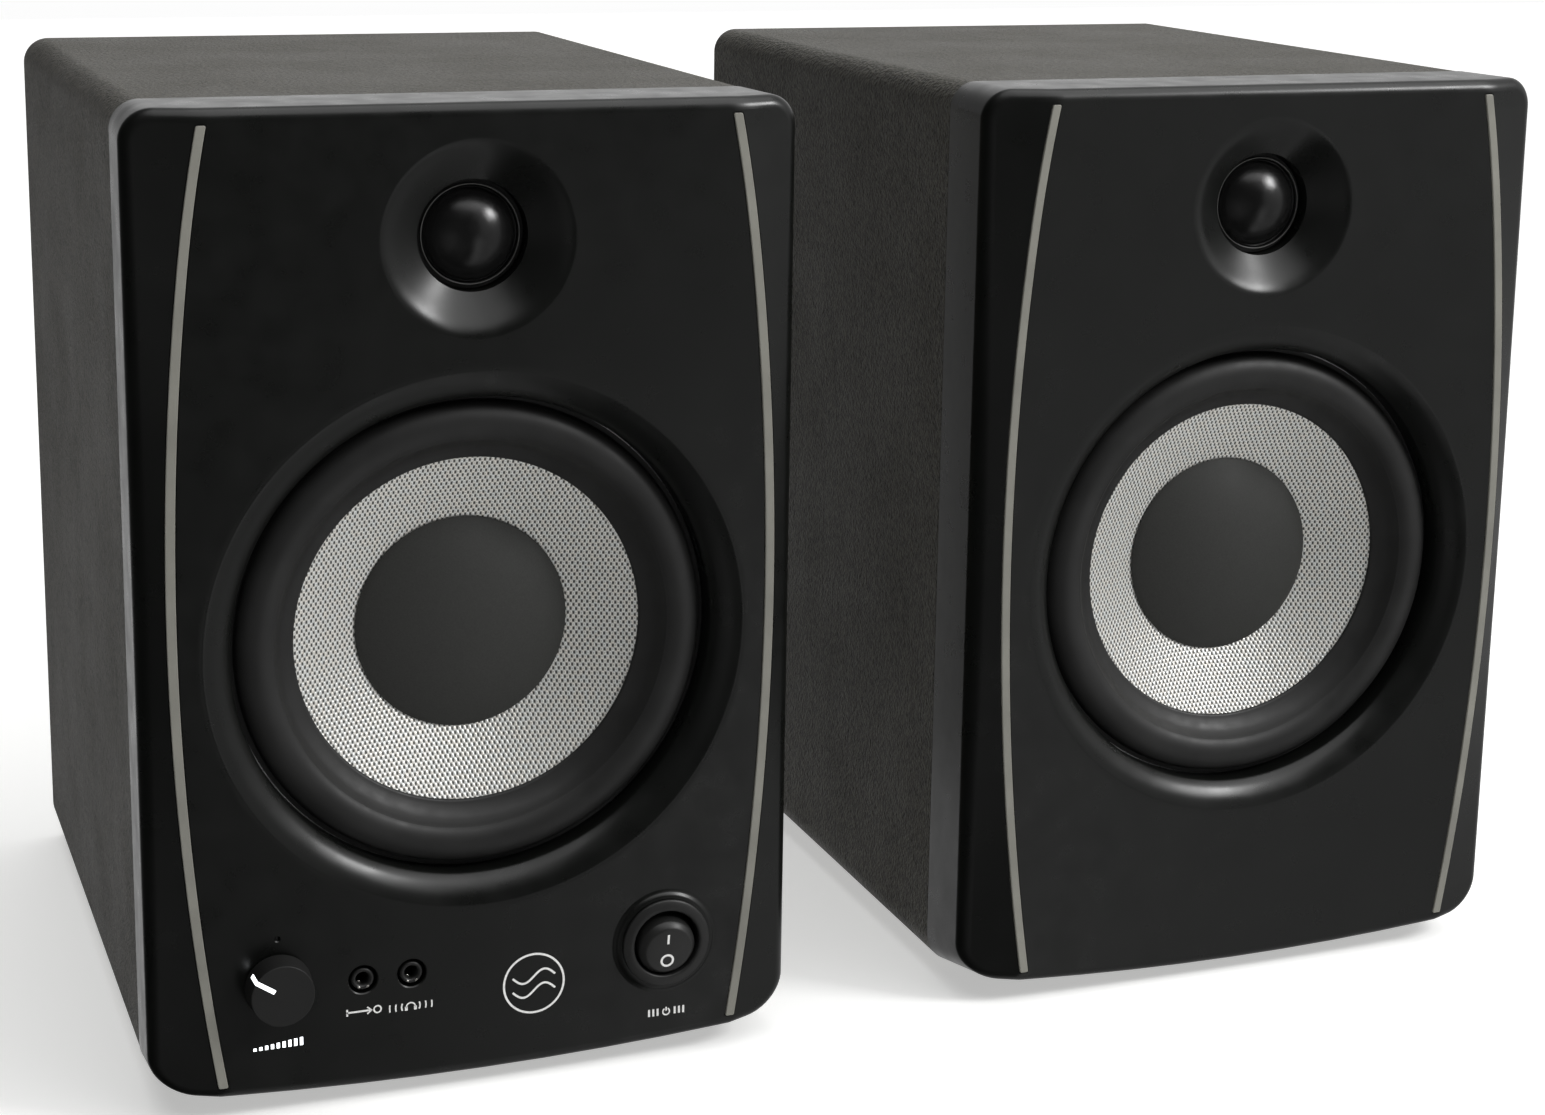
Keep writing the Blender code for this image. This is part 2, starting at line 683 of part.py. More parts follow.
def build_tweeter(side, parent):
    centre = (0.0, 0.0, TWEETER_Z)
    plate = PANEL_THICK + GAP
    ring = [
        (13.7 * MM, 9.6 * MM),
        (14.9 * MM, 9.6 * MM),
        (14.9 * MM, plate),
        (24.0 * MM, plate),
        (24.0 * MM, plate + 2.0 * MM),
        (12.9 * MM, plate + 2.0 * MM),
        (12.9 * MM, plate + 0.6 * MM),
        (13.7 * MM, plate + 0.6 * MM),
    ]
    make_object(f"{side}_tweeter_plate", turned(ring, MEDIUM), parent, "plastic", centre)
    outer = cap_arc(DOME_RADIUS, DOME_BASE, DOME_RISE, 4)
    inner = cap_arc(DOME_RADIUS - 0.7 * MM, DOME_BASE + 0.4 * MM, DOME_RISE - 0.2 * MM, 2)
    skirt = [
        (DOME_RADIUS - 0.7 * MM, 17.0 * MM),
        (DOME_RADIUS - 0.2 * MM, 17.0 * MM),
        (DOME_RADIUS - 0.2 * MM, 11.5 * MM),
        (13.3 * MM, 11.5 * MM),
        (13.3 * MM, 10.9 * MM),
    ]
    dome = turned(list(reversed(inner)) + skirt + outer, MEDIUM)
    make_object(f"{side}_tweeter_dome", dome, parent, "silk", centre)
    magnet_front = plate + 2.0 * MM + GAP
    magnet = [
        (0.0, magnet_front),
        (11.0 * MM, magnet_front),
        (11.0 * MM, 19.0 * MM),
        (12.9 * MM, 19.0 * MM),
        (12.9 * MM, magnet_front),
        (20.0 * MM, magnet_front),
        (20.0 * MM, 34.0 * MM),
        (0.0, 34.0 * MM),
    ]
    make_object(f"{side}_tweeter_magnet", turned(magnet, MEDIUM), parent, "ferrite", centre)


# ---------------------------------------------------------------- front controls

def build_volume_control(parent):
    centre = (KNOB_X, 0.0, KNOB_Z)
    turn = (0.0, KNOB_ANGLE, 0.0)
    bore = SHAFT_RADIUS + GAP
    profile = [
        (bore, KNOB_BACK),
        (KNOB_RADIUS - 0.3 * MM, KNOB_BACK),
        (KNOB_RADIUS, KNOB_BACK - 0.4 * MM),
        (KNOB_FACE, FRONTMOST + 0.25 * MM),
        (KNOB_FACE - 0.25 * MM, FRONTMOST),
        (0.0, FRONTMOST),
        (0.0, FRONTMOST + 2.0 * MM),
        (bore, FRONTMOST + 2.0 * MM),
    ]
    knob = make_object("left_volume_knob", turned(profile, MEDIUM), parent, "plastic", centre, turn)
    slots = (
        (2.4 * MM, KNOB_RADIUS + 2.0 * MM, FRONTMOST - 1.0 * MM, FRONTMOST + 1.1 * MM),
        (KNOB_FACE - 1.2 * MM, KNOB_RADIUS + 2.0 * MM, FRONTMOST - 1.0 * MM, POINTER_END + GAP),
    )
    for number, (low, high, front, back) in enumerate(slots):
        half = POINTER_HALF + GAP
        slot = block(-half, half, front, back, low, high)
        cut(knob, make_object(f"left_pointer_slot_{number}", slot, parent, "glow", centre, turn))
    outline = [
        (2.7 * MM, FRONTMOST + 0.8 * MM),
        (2.7 * MM, FRONTMOST),
        (KNOB_FACE - 0.25 * MM, FRONTMOST),
        (KNOB_FACE, FRONTMOST + 0.25 * MM),
        (KNOB_RADIUS - 0.15 * MM, POINTER_END),
        (KNOB_FACE - 0.8 * MM, POINTER_END),
        (KNOB_FACE - 0.8 * MM, FRONTMOST + 0.8 * MM),
    ]
    make_object("left_knob_pointer", bar_from_side(outline), parent, "glow", centre, turn)
    shaft = [
        (0.0, FRONTMOST + 2.4 * MM),
        (SHAFT_RADIUS, FRONTMOST + 2.4 * MM),
        (SHAFT_RADIUS, 17.5 * MM),
        (0.0, 17.5 * MM),
    ]
    make_object("left_volume_shaft", turned(shaft, COARSE), parent, "steel", centre)
    body = [
        (SHAFT_RADIUS + GAP, PANEL_THICK + GAP),
        (8.0 * MM, PANEL_THICK + GAP),
        (8.0 * MM, 21.0 * MM),
        (0.0, 21.0 * MM),
        (0.0, 18.0 * MM),
        (SHAFT_RADIUS + GAP, 18.0 * MM),
    ]
    make_object("left_volume_potentiometer", turned(body, COARSE), parent, "steel", centre)


def bar_from_side(outline):
    """A bar with the given (height, depth) outline, as wide as the pointer."""
    bm = bmesh.new()
    near = [bm.verts.new((-POINTER_HALF, y, z)) for z, y in outline]
    bm.faces.new(near)
    far = bmesh.ops.extrude_face_region(bm, geom=bm.faces[:])
    moved = [v for v in far["geom"] if isinstance(v, bmesh.types.BMVert)]
    bmesh.ops.translate(bm, verts=moved, vec=(2 * POINTER_HALF, 0.0, 0.0))
    bmesh.ops.triangulate(bm, faces=bm.faces[:])
    return bm


def build_jacks(parent):
    profile = [
        (1.8 * MM, 1.3 * MM),
        (2.1 * MM, 0.7 * MM),
        (2.7 * MM, 0.4 * MM),
        (3.25 * MM, 0.9 * MM),
        (3.25 * MM, PANEL_THICK + GAP),
        (6.0 * MM, PANEL_THICK + GAP),
        (6.0 * MM, 26.0 * MM),
        (0.0, 26.0 * MM),
        (0.0, 17.0 * MM),
        (1.8 * MM, 17.0 * MM),
    ]
    for name, x in (("left_aux_jack", AUX_X), ("left_phones_jack", PHONES_X)):
        make_object(name, turned(profile, COARSE), parent, "plastic", (x, 0.0, JACK_Z))
    radius = LED_HOLE - GAP
    lens = [(0.0, 0.8 * MM), (radius, 0.8 * MM), (radius, 15.0 * MM), (0.0, 15.0 * MM)]
    make_object("left_indicator_lens", turned(lens, 12), parent, "plastic", (LED_X, 0.0, LED_Z))


def build_rocker(parent):
    centre = (ROCKER_X, 0.0, ROCKER_Z)
    barrel = ROCKER_HOLE - GAP
    seat = -BOSS_RISE - GAP
    housing = [
        (ROCKER_MOUTH, -2.2 * MM),
        (10.3 * MM, -2.7 * MM),
        (11.6 * MM, -2.6 * MM),
        (12.6 * MM, -2.1 * MM),
        (12.95 * MM, seat),
        (barrel, seat),
        (barrel, 15.0 * MM),
        (0.0, 15.0 * MM),
        (0.0, 13.6 * MM),
        (ROCKER_MOUTH, 13.6 * MM),
    ]
    make_object("left_switch_housing", turned(housing, MEDIUM), parent, "plastic", centre)
    paddle = [
        (0.0, -9.2 * MM),
        (6.9 * MM, -9.2 * MM),
        (8.2 * MM, -8.0 * MM),
        (8.6 * MM, -5.6 * MM),
        (9.25 * MM, -1.0 * MM),
        (9.25 * MM, 0.5 * MM),
        (6.0 * MM, 3.0 * MM),
        (0.0, 3.0 * MM),
    ]
    pivot = (ROCKER_X, ROCKER_PIVOT, ROCKER_Z)
    tilt = (ROCKER_TILT, 0.0, 0.0)
    make_object("left_power_rocker", turned(paddle, MEDIUM), parent, "plastic", pivot, tilt)


# ---------------------------------------------------------------- wire clips

def clip_body_heights(middle, spare=0.0):
    return middle - 16.0 * MM - spare, middle + 18.0 * MM + spare


def build_clips(side, parent, x, z, face):
    """Two spring clips in one housing; face is the depth of the surface it is screwed to."""
    seat = face + GAP
    rim = seat + 5.0 * MM
    low, high = clip_body_heights(z)
    half = 20.0 * MM
    housing = make_object(
        f"{side}_terminal_housing",
        block(x - half, x + half, face - 14.0 * MM, rim, low, high),
        parent,
        "plastic",
    )
    flange = block(x - half - 4.0 * MM, x + half + 4.0 * MM, seat, seat + 1.6 * MM, low - 4.0 * MM, high + 4.0 * MM)
    combine(housing, make_object(f"{side}_terminal_flange", flange, parent, "plastic"), "UNION")
    for sign, colour in ((-1.0, "red"), (1.0, "black")):
        middle = x + sign * CLIP_HALF_PITCH
        pivot = z - CLIP_PIVOT_DROP
        pocket = block(
            middle - 7.4 * MM, middle + 7.4 * MM, rim - 13.0 * MM, rim + 5.0 * MM, pivot - 2.6 * MM, z + 16.0 * MM
        )
        cut(housing, make_object(f"{side}_{colour}_pocket", pocket, parent, "plastic"))
        hole = turned(
            [(0.0, rim - 12.0 * MM), (1.6 * MM, rim - 12.0 * MM), (1.6 * MM, rim + 1.0 * MM), (0.0, rim + 1.0 * MM)], 12
        )
        place = (middle, 0.0, pivot - 7.0 * MM)
        cut(housing, make_object(f"{side}_{colour}_wire_hole", hole, parent, "plastic", place))
        lever = block(-7.0 * MM, 7.0 * MM, -1.6 * MM, 1.6 * MM, -1.8 * MM, 16.5 * MM)
        lip = block(-7.0 * MM, 7.0 * MM, 1.2 * MM, 3.4 * MM, 13.0 * MM, 16.5 * MM)
        hinge = (middle, rim - CLIP_INSET, pivot)
        clip = make_object(f"{side}_clip_lever_{colour}", lever, parent, colour, hinge)
        edge = make_object(f"{side}_{colour}_lever_lip", lip, parent, colour, hinge)
        combine(clip, edge, "UNION")


# ---------------------------------------------------------------- electronics

def build_amplifier(parent):
    back = SLEEVE_BACK + GAP
    plate = make_object(
        "left_amplifier_plate",
        prism(rectangle(PLATE_HALF, PLATE_LOW, PLATE_HIGH), back, back + PLATE_THICK),
        parent,
        "plate",
    )
    posts_front = 216.0 * MM
    for sx in (-1.0, 1.0):
        for z in (26.0 * MM, 151.0 * MM):
            x = sx * 44.0 * MM
            post = block(
                x - 3.0 * MM, x + 3.0 * MM, posts_front, back + PLATE_THICK / 2, z - 3.0 * MM, z + 3.0 * MM
            )
            name = f"left_post_{'low' if z < 0.1 else 'high'}_{'l' if sx < 0 else 'r'}"
            combine(plate, make_object(name, post, parent, "plate"), "UNION")
    reach = (back - 5.0 * MM, back + 5.0 * MM)
    holes = (
        ("inlet", block(INLET_X - 10.4 * MM, INLET_X + 10.4 * MM, *reach, INLET_Z - 6.4 * MM, INLET_Z + 6.4 * MM)),
        ("input", block(INPUT_X - 14.4 * MM, INPUT_X + 14.4 * MM, *reach, INPUT_Z - 5.4 * MM, INPUT_Z + 5.4 * MM)),
        (
            "clips",
            block(
                CLIPS_LEFT_X - 20.4 * MM, CLIPS_LEFT_X + 20.4 * MM, *reach, *clip_body_heights(CLIPS_LEFT_Z, GAP)
            ),
        ),
    )
    for name, bm in holes:
        cut(plate, make_object(f"left_{name}_opening", bm, parent, "plate"))
    board = block(-48.0 * MM, 48.0 * MM, 214.0 * MM, 215.6 * MM, 20.0 * MM, 157.0 * MM)
    make_object("left_amplifier_board", board, parent, "board")


def build_transformer(parent):
    floor = CABINET_BOTTOM + WALL + GAP
    core = block(-33.0 * MM, 33.0 * MM, 140.0 * MM, 162.0 * MM, floor, floor + 55.0 * MM)
    transformer = make_object("left_transformer", core, parent, "steel")
    winding = block(-21.0 * MM, 21.0 * MM, 131.0 * MM, 171.0 * MM, floor + 9.0 * MM, floor + 46.0 * MM)
    combine(transformer, make_object("left_winding", winding, parent, "steel"), "UNION")


def build_mains_inlet(parent):
    seat = SLEEVE_BACK + GAP + PLATE_THICK + GAP
    x, z = INLET_X, INLET_Z
    body = block(x - 10.0 * MM, x + 10.0 * MM, seat - 18.0 * MM, seat + 1.0 * MM, z - 6.0 * MM, z + 6.0 * MM)
    inlet = make_object("left_mains_inlet", body, parent, "plastic")
    flange = block(x - 14.0 * MM, x + 14.0 * MM, seat, seat + 2.0 * MM, z - 9.0 * MM, z + 9.0 * MM)
    combine(inlet, make_object("left_inlet_flange", flange, parent, "plastic"), "UNION")
    recess = block(x - 7.8 * MM, x + 7.8 * MM, seat - 11.0 * MM, seat + 4.0 * MM, z - 3.9 * MM, z + 3.9 * MM)
    cut(inlet, make_object("left_inlet_recess", recess, parent, "plastic"))
    for number, offset in enumerate((-4.8 * MM, 4.8 * MM)):
        pin = turned(
            [(0.0, seat - 13.0 * MM), (1.2 * MM, seat - 13.0 * MM), (1.2 * MM, seat - 1.0 * MM), (0.0, seat - 1.0 * MM)],
            10,
        )
        tool = make_object(f"left_inlet_pin_{number}", pin, parent, "steel", (x + offset, 0.0, z))
        combine(inlet, tool, "UNION")


def build_input_sockets(parent):
    seat = SLEEVE_BACK + GAP + PLATE_THICK + GAP
    x, z = INPUT_X, INPUT_Z
    body = block(x - 14.0 * MM, x + 14.0 * MM, seat - 12.0 * MM, seat + 1.0 * MM, z - 5.0 * MM, z + 5.0 * MM)
    sockets = make_object("left_line_input_sockets", body, parent, "plastic")
    flange = block(x - 18.0 * MM, x + 18.0 * MM, seat, seat + 1.6 * MM, z - 8.0 * MM, z + 8.0 * MM)
    combine(sockets, make_object("left_input_flange", flange, parent, "plastic"), "UNION")
    for number, offset in enumerate((-8.0 * MM, 8.0 * MM)):
        profile = [
            (0.0, seat + 1.0 * MM),
            (4.1 * MM, seat + 1.0 * MM),
            (4.1 * MM, BACKMOST),
            (1.6 * MM, BACKMOST),
            (1.6 * MM, seat + 3.0 * MM),
            (0.0, seat + 3.0 * MM),
        ]
        tool = make_object(
            f"left_input_barrel_{number}", turned(profile, COARSE), parent, "steel", (x + offset, 0.0, z)
        )
        combine(sockets, tool, "UNION")


def build_crossover(parent):
    floor = CABINET_BOTTOM + WALL + GAP
    radius = 8.0 * MM
    profile = [(0.0, 130.0 * MM), (radius, 130.0 * MM), (radius, 165.0 * MM), (0.0, 165.0 * MM)]
    place = (30.0 * MM, 0.0, floor + radius)
    make_object("right_crossover_capacitor", turned(profile, COARSE), parent, "ferrite", place)


# ---------------------------------------------------------------- assembly

def build_speaker(side):
    sign = -1.0 if side == "left" else 1.0
    base = bpy.data.objects.new(f"{side}_base", None)
    bpy.context.scene.collection.objects.link(base)
    base.location = (sign * SPACING / 2.0, -(FRONTMOST + BACKMOST) / 2.0, 0.0)
    build_sleeve(side, base)
    build_back_board(side, base)
    build_feet(side, base)
    build_port(side, base)
    build_panel(side, base)
    build_woofer(side, base)
    build_tweeter(side, base)
    return base


def main():
    clear_scene()
    left = build_speaker("left")
    build_volume_control(left)
    build_jacks(left)
    build_rocker(left)
    build_amplifier(left)
    build_transformer(left)
    build_mains_inlet(left)
    build_input_sockets(left)
    build_clips("left", left, CLIPS_LEFT_X, CLIPS_LEFT_Z, SLEEVE_BACK + GAP + PLATE_THICK)
    right = build_speaker("right")
    build_clips("right", right, 0.0, CLIPS_RIGHT_Z, SLEEVE_BACK)
    build_crossover(right)


main()
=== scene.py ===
"""Looks of a pair of powered desktop speakers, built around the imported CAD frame."""

import math

import bmesh
import bpy
from mathutils import Matrix, Vector


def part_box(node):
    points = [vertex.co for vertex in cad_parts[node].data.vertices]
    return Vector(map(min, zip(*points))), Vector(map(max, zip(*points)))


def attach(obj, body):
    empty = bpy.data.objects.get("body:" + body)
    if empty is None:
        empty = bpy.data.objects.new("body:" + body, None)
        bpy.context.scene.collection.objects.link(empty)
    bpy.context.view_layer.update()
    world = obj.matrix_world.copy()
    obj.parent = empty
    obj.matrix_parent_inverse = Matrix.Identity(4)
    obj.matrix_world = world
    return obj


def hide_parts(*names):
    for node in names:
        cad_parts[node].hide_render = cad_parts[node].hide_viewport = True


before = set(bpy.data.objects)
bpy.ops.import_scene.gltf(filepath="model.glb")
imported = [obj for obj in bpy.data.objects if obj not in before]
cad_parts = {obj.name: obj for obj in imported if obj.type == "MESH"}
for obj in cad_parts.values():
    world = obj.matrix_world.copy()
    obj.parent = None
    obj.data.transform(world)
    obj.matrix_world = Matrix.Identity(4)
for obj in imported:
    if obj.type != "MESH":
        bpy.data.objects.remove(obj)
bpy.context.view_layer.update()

MM = 0.001
GAP = 0.3 * MM
SIDES = ("left", "right")

# Shapes that repeat the CAD's own sizes, in each speaker's frame: x from its middle, y depth behind the
# front face, z above the floor
EDGE_ROUND = 3.5 * MM
WING_FALL = 5.5 * MM
BOTTOM_BOW = 3.2 * MM
BOW_FADE = 25.0 * MM
STRIP_MID_X = 83.75 * MM
STRIP_RADIUS = 835.8 * MM
STRIP_MID_Z = 141.8 * MM
STRIP_LOW = 10.4 * MM
STRIP_HIGH = 273.4 * MM
STRIP_HALF = 1.3 * MM
STRIP_CORNER = 0.5 * MM
STRIP_HOOK_START = 238.0 * MM
STRIP_HOOK = 0.7 * MM
GROOVE_DEPTH = 1.2 * MM
PANEL_THICK = 12.0 * MM
PANEL_CORNER_LOW = 12.5 * MM
PANEL_CORNER_HIGH = 9.0 * MM
CABINET_CORNER_LOW = 10.0 * MM
CABINET_CORNER_HIGH = 8.0 * MM
WALL = 12.0 * MM
WOOFER_HOLE = 67.8 * MM
TWEETER_HOLE = 15.3 * MM
CONE_SLOPE = 0.466
CONE_INNER = 16.3 * MM
CONE_DEPTH = 29.4 * MM
ROLL_RADIUS = 60.0 * MM
ROLL_DEPTH = 11.0 * MM
KNOB_BASE = 9.2 * MM
KNOB_FACE = 8.65 * MM
POINTER_HALF = 0.55 * MM
KNOB_ANGLE = math.radians(-56.0)
JACK_HOLE = 4.05 * MM
ROCKER_HOLE = 12.2 * MM
ROCKER_PIVOT = 5.0 * MM
ROCKER_FACE = -9.2 * MM
ROCKER_TILT = math.radians(9.0)
BOSS_RISE = 1.1 * MM


def mm(*points):
    """Pairs given in millimetres, as lengths in metres."""
    return [(a * MM, b * MM) for a, b in points]


def node_middle(node):
    low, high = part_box(node)
    return (low + high) / 2.0


def speaker_origin(side):
    """Middle of a speaker at its flat front. The fronts are level; only the left one has a swelling."""
    low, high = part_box(f"{side}_front_panel")
    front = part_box("right_front_panel")[0].y
    return Vector(((low.x + high.x) / 2.0, front, 0.0))


ORIGIN = {side: speaker_origin(side) for side in SIDES}


def local_box(node):
    """A node's box in its own speaker's frame."""
    low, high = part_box(node)
    origin = ORIGIN[node.split("_")[0]]
    return low - origin, high - origin


def local_middle(node):
    low, high = local_box(node)
    return (low + high) / 2.0


def front_point(node):
    """The point of a speaker's front plane straight before a node."""
    middle = node_middle(node)
    return Vector((middle.x, ORIGIN[node.split("_")[0]].y, middle.z))


# ---------------------------------------------------------------- materials

class Nodes:
    """A Principled material and short calls that add nodes to it."""

    def __init__(self, name, colour, roughness=0.5, metallic=0.0, specular=0.5, **sockets):
        self.material = bpy.data.materials.new(name)
        self.material.use_nodes = True
        self.tree = self.material.node_tree
        self.shader = self.tree.nodes["Principled BSDF"]
        self.set("Base Color", (*colour, 1.0))
        self.set("Roughness", roughness)
        self.set("Metallic", metallic)
        self.set("Specular IOR Level", specular)
        for socket, value in sockets.items():
            self.set(socket.replace("_", " "), value)

    def set(self, socket, value):
        self.shader.inputs[socket].default_value = value

    def add(self, kind, links=None, values=None, **properties):
        node = self.tree.nodes.new(f"ShaderNode{kind}")
        for key, value in properties.items():
            setattr(node, key, value)
        for key, value in (values or {}).items():
            node.inputs[key].default_value = value
        for key, source in (links or {}).items():
            self.tree.links.new(source, node.inputs[key])
        return node

    def place(self):
        return self.add("TexCoord").outputs["Object"]

    def noise(self, scale, detail=3.0, rough=0.55, vector=None):
        links = {"Vector": vector if vector is not None else self.place()}
        values = {"Scale": scale, "Detail": detail, "Roughness": rough}
        return self.add("TexNoise", links, values).outputs["Fac"]

    def math(self, operation, a, b=None, clamp=False):
        node = self.add("Math", operation=operation, use_clamp=clamp)
        for index, value in enumerate((a, b)):
            if value is None:
                continue
            if isinstance(value, (int, float)):
                node.inputs[index].default_value = value
            else:
                self.tree.links.new(value, node.inputs[index])
        return node.outputs["Value"]

    def ramp(self, source, *stops):
        """Colour stops: (position, colour)."""
        node = self.add("ValToRGB", {"Fac": source})
        elements = node.color_ramp.elements
        while len(elements) < len(stops):
            elements.new(0.5)
        for element, (position, colour) in zip(elements, stops):
            element.position = position
            element.color = (*colour, 1.0)
        return node.outputs["Color"]

    def spread(self, source, low, high, start=0.0, end=1.0):
        values = {"From Min": start, "From Max": end, "To Min": low, "To Max": high}
        return self.add("MapRange", {"Value": source}, values).outputs["Result"]

    def link(self, socket, source):
        self.tree.links.new(source, self.shader.inputs[socket])

    def mottle(self, source, colour, dark, light, start=0.3, end=0.7):
        """Base colour from a darker to a lighter shade of one colour."""
        self.link("Base Color", self.ramp(source, (start, shade(colour, dark)), (end, shade(colour, light))))

    def wear(self, source, low, high, start=0.3, end=0.7):
        self.link("Roughness", self.spread(source, low, high, start, end))

    def ripple(self, axis, pitch, place=None):
        """A sine along one axis, from -1 to 1."""
        split = self.add("SeparateXYZ", {"Vector": place or self.place()})
        return self.math("SINE", self.math("MULTIPLY", split.outputs[axis], 2 * math.pi / pitch))

    def weave(self, pitch, place=None):
        """Ripples along X and Z, multiplied."""
        place = place or self.place()
        return self.math("MULTIPLY", self.ripple("X", pitch, place), self.ripple("Z", pitch, place))

    def bump(self, source, strength, distance):
        values = {"Strength": strength, "Distance": distance}
        node = self.add("Bump", {"Height": source}, values)
        old = self.shader.inputs["Normal"]
        if old.is_linked:
            self.tree.links.new(old.links[0].from_socket, node.inputs["Normal"])
        self.link("Normal", node.outputs["Normal"])


def shade(colour, factor):
    return tuple(min(1.0, c * factor) for c in colour)


def moulded(name, colour, roughness=0.42, grain=2600.0, depth=0.02, specular=0.5, **sockets):
    """Moulded plastic: fine spark grain, faint mottling and hardly any wear."""
    made = Nodes(name, colour, roughness, specular=specular, **sockets)
    cloud = made.noise(35.0, 4.0)
    made.mottle(cloud, colour, 0.85, 1.18)
    fine = made.noise(grain, 2.0)
    made.wear(made.noise(90.0, 5.0), roughness - 0.05, roughness + 0.06)
    made.bump(fine, 0.35, depth * MM)
    return made.material


def brushed(name, colour, roughness=0.3, metallic=1.0):
    made = Nodes(name, colour, roughness, metallic)
    cloud = made.noise(120.0, 5.0)
    made.mottle(cloud, colour, 0.75, 1.15)
    made.wear(made.noise(700.0, 4.0), roughness - 0.08, roughness + 0.14)
    made.bump(made.noise(1500.0, 3.0), 0.2, 0.02 * MM)
    return made.material


def vinyl_wrap():
    """Black leather-grained vinyl: pebbles of about a millimetre, with creases and flatter patches."""
    colour = (0.040, 0.0368, 0.0300)
    made = Nodes("vinyl_wrap", colour, 0.5, specular=0.45, Specular_Tint=(1.0, 0.97, 0.8, 1.0))
    place = made.place()
    pebbles = made.add(
        "TexVoronoi", {"Vector": place}, {"Scale": 950.0, "Smoothness": 0.5}, feature="SMOOTH_F1"
    ).outputs["Distance"]
    grain = made.noise(620.0, 5.0, 0.7, vector=place)
    height = made.math("ADD", made.math("MULTIPLY", pebbles, 0.8), grain)
    patches = made.noise(28.0, 3.0, vector=place)
    made.mottle(grain, colour, 0.3, 1.8, 0.38, 0.62)
    made.wear(patches, 0.46, 0.52, 0.35, 0.65)
    made.bump(height, 1.0, 0.6 * MM)
    return made.material


def woven_cone():
    """Silver glass-fibre weave: staggered floats of thread. Its colour follows the weave's height, so shade
    is painted into the gaps between the floats: near black there, lightest on their crests.
    """
    made = Nodes("woven_cone", (0.5, 0.5, 0.5), 0.34, 0.45)
    place = made.place()
    split = made.add("SeparateXYZ", {"Vector": place})
    stray = made.math("MULTIPLY", made.noise(260.0, 2.0, vector=place), 0.9)
    waves = []
    for axis, pitch in (("X", 1.45 * MM), ("Z", 2.3 * MM)):
        turns = made.math("MULTIPLY", split.outputs[axis], 2 * math.pi / pitch)
        waves.append(made.math("COSINE", made.math("ADD", turns, stray)))
    floats = made.spread(made.math("MULTIPLY", *waves), 0.0, 1.0, -0.75, 0.75)
    fray = made.noise(3000.0, 3.0, 0.7, vector=place)
    tufts = made.noise(700.0, 2.0, vector=place)
    height = made.math("ADD", made.math("MULTIPLY", floats, 0.75), made.math("MULTIPLY", fray, 0.35))
    # Painted shade: near black in the low gaps of the weave, lightest on the raised floats.
    colour = made.ramp(
        height, (0.24, (0.08, 0.08, 0.078)), (0.48, (0.54, 0.535, 0.51)), (0.82, (1.0, 0.99, 0.96))
    )
    tint = made.ramp(tufts, (0.38, (0.95, 0.98, 1.0)), (0.62, (1.0, 0.975, 0.94)))
    mixed = made.add("Mix", data_type="RGBA", blend_type="MULTIPLY")
    mixed.inputs[0].default_value = 1.0
    made.tree.links.new(colour, mixed.inputs[6])
    made.tree.links.new(tint, mixed.inputs[7])
    made.link("Base Color", mixed.outputs[2])
    made.wear(height, 0.5, 0.22, 0.2, 1.0)
    made.bump(height, 0.75, 0.26 * MM)
    return made.material


def paper_cap():
    colour = (0.026, 0.0265, 0.0245)
    made = Nodes("coated_cap", colour, 0.62, specular=0.4)
    fibres = made.noise(1900.0, 6.0, 0.7)
    made.mottle(fibres, colour, 0.8, 1.25)
    made.wear(made.noise(60.0), 0.58, 0.7)
    made.bump(fibres, 0.3, 0.05 * MM)
    return made.material


def rolled_rubber():
    colour = (0.013, 0.013, 0.0128)
    made = Nodes("rolled_rubber", colour, 0.5, specular=0.45)
    cloud = made.noise(55.0, 4.0)
    made.mottle(cloud, colour, 0.8, 1.25)
    made.wear(made.noise(240.0, 5.0), 0.44, 0.56)
    made.bump(made.noise(1500.0, 3.0), 0.25, 0.03 * MM)
    return made.material


def coated_silk():
    """Doped dome cloth: a fine cross weave and slubs under a thin black coat."""
    colour = (0.006, 0.006, 0.006)
    made = Nodes("coated_silk", colour, 0.2, specular=0.5)
    slubs = made.noise(1500.0, 3.0, 0.7)
    height = made.math("ADD", made.math("MULTIPLY", made.weave(0.36 * MM), 0.25), slubs)
    made.mottle(made.noise(400.0), colour, 0.8, 1.3)
    made.wear(made.noise(900.0, 4.0), 0.17, 0.27)
    made.bump(height, 0.4, 0.045 * MM)
    return made.material


def spider_cloth():
    made = Nodes("spider_cloth", (0.5, 0.34, 0.14), 0.85)
    weave = made.spread(made.weave(0.9 * MM), 0.0, 1.0, -1.0, 1.0)
    # Painted shade: the cloth is darker in the weave's hollows and lighter where the weave stands up.
    made.link("Base Color", made.ramp(weave, (0.2, (0.28, 0.17, 0.06)), (0.8, (0.56, 0.39, 0.17))))
    made.bump(weave, 0.5, 0.15 * MM)
    return made.material


def wound_copper():
    made = Nodes("wound_copper", (0.72, 0.32, 0.15), 0.28, 0.9)
    height = made.spread(made.ripple("Y", 0.4 * MM), 0.0, 1.0, -1.0, 1.0)
    # Painted shade: the copper is darker in the grooves between the turns and lighter on their crests.
    made.link("Base Color", made.ramp(height, (0.1, (0.30, 0.10, 0.04)), (0.7, (0.75, 0.34, 0.16))))
    made.bump(height, 0.6, 0.12 * MM)
    return made.material


def lit_print(strength):
    """White plastic lit from behind, a little uneven."""
    made = Nodes("lit_white", (0.85, 0.88, 0.9), 0.4, Emission_Color=(0.93, 0.97, 1.0, 1.0))
    made.link("Emission Strength", made.spread(made.noise(700.0), 0.85 * strength, 1.1 * strength, 0.3, 0.7))
    return made.material


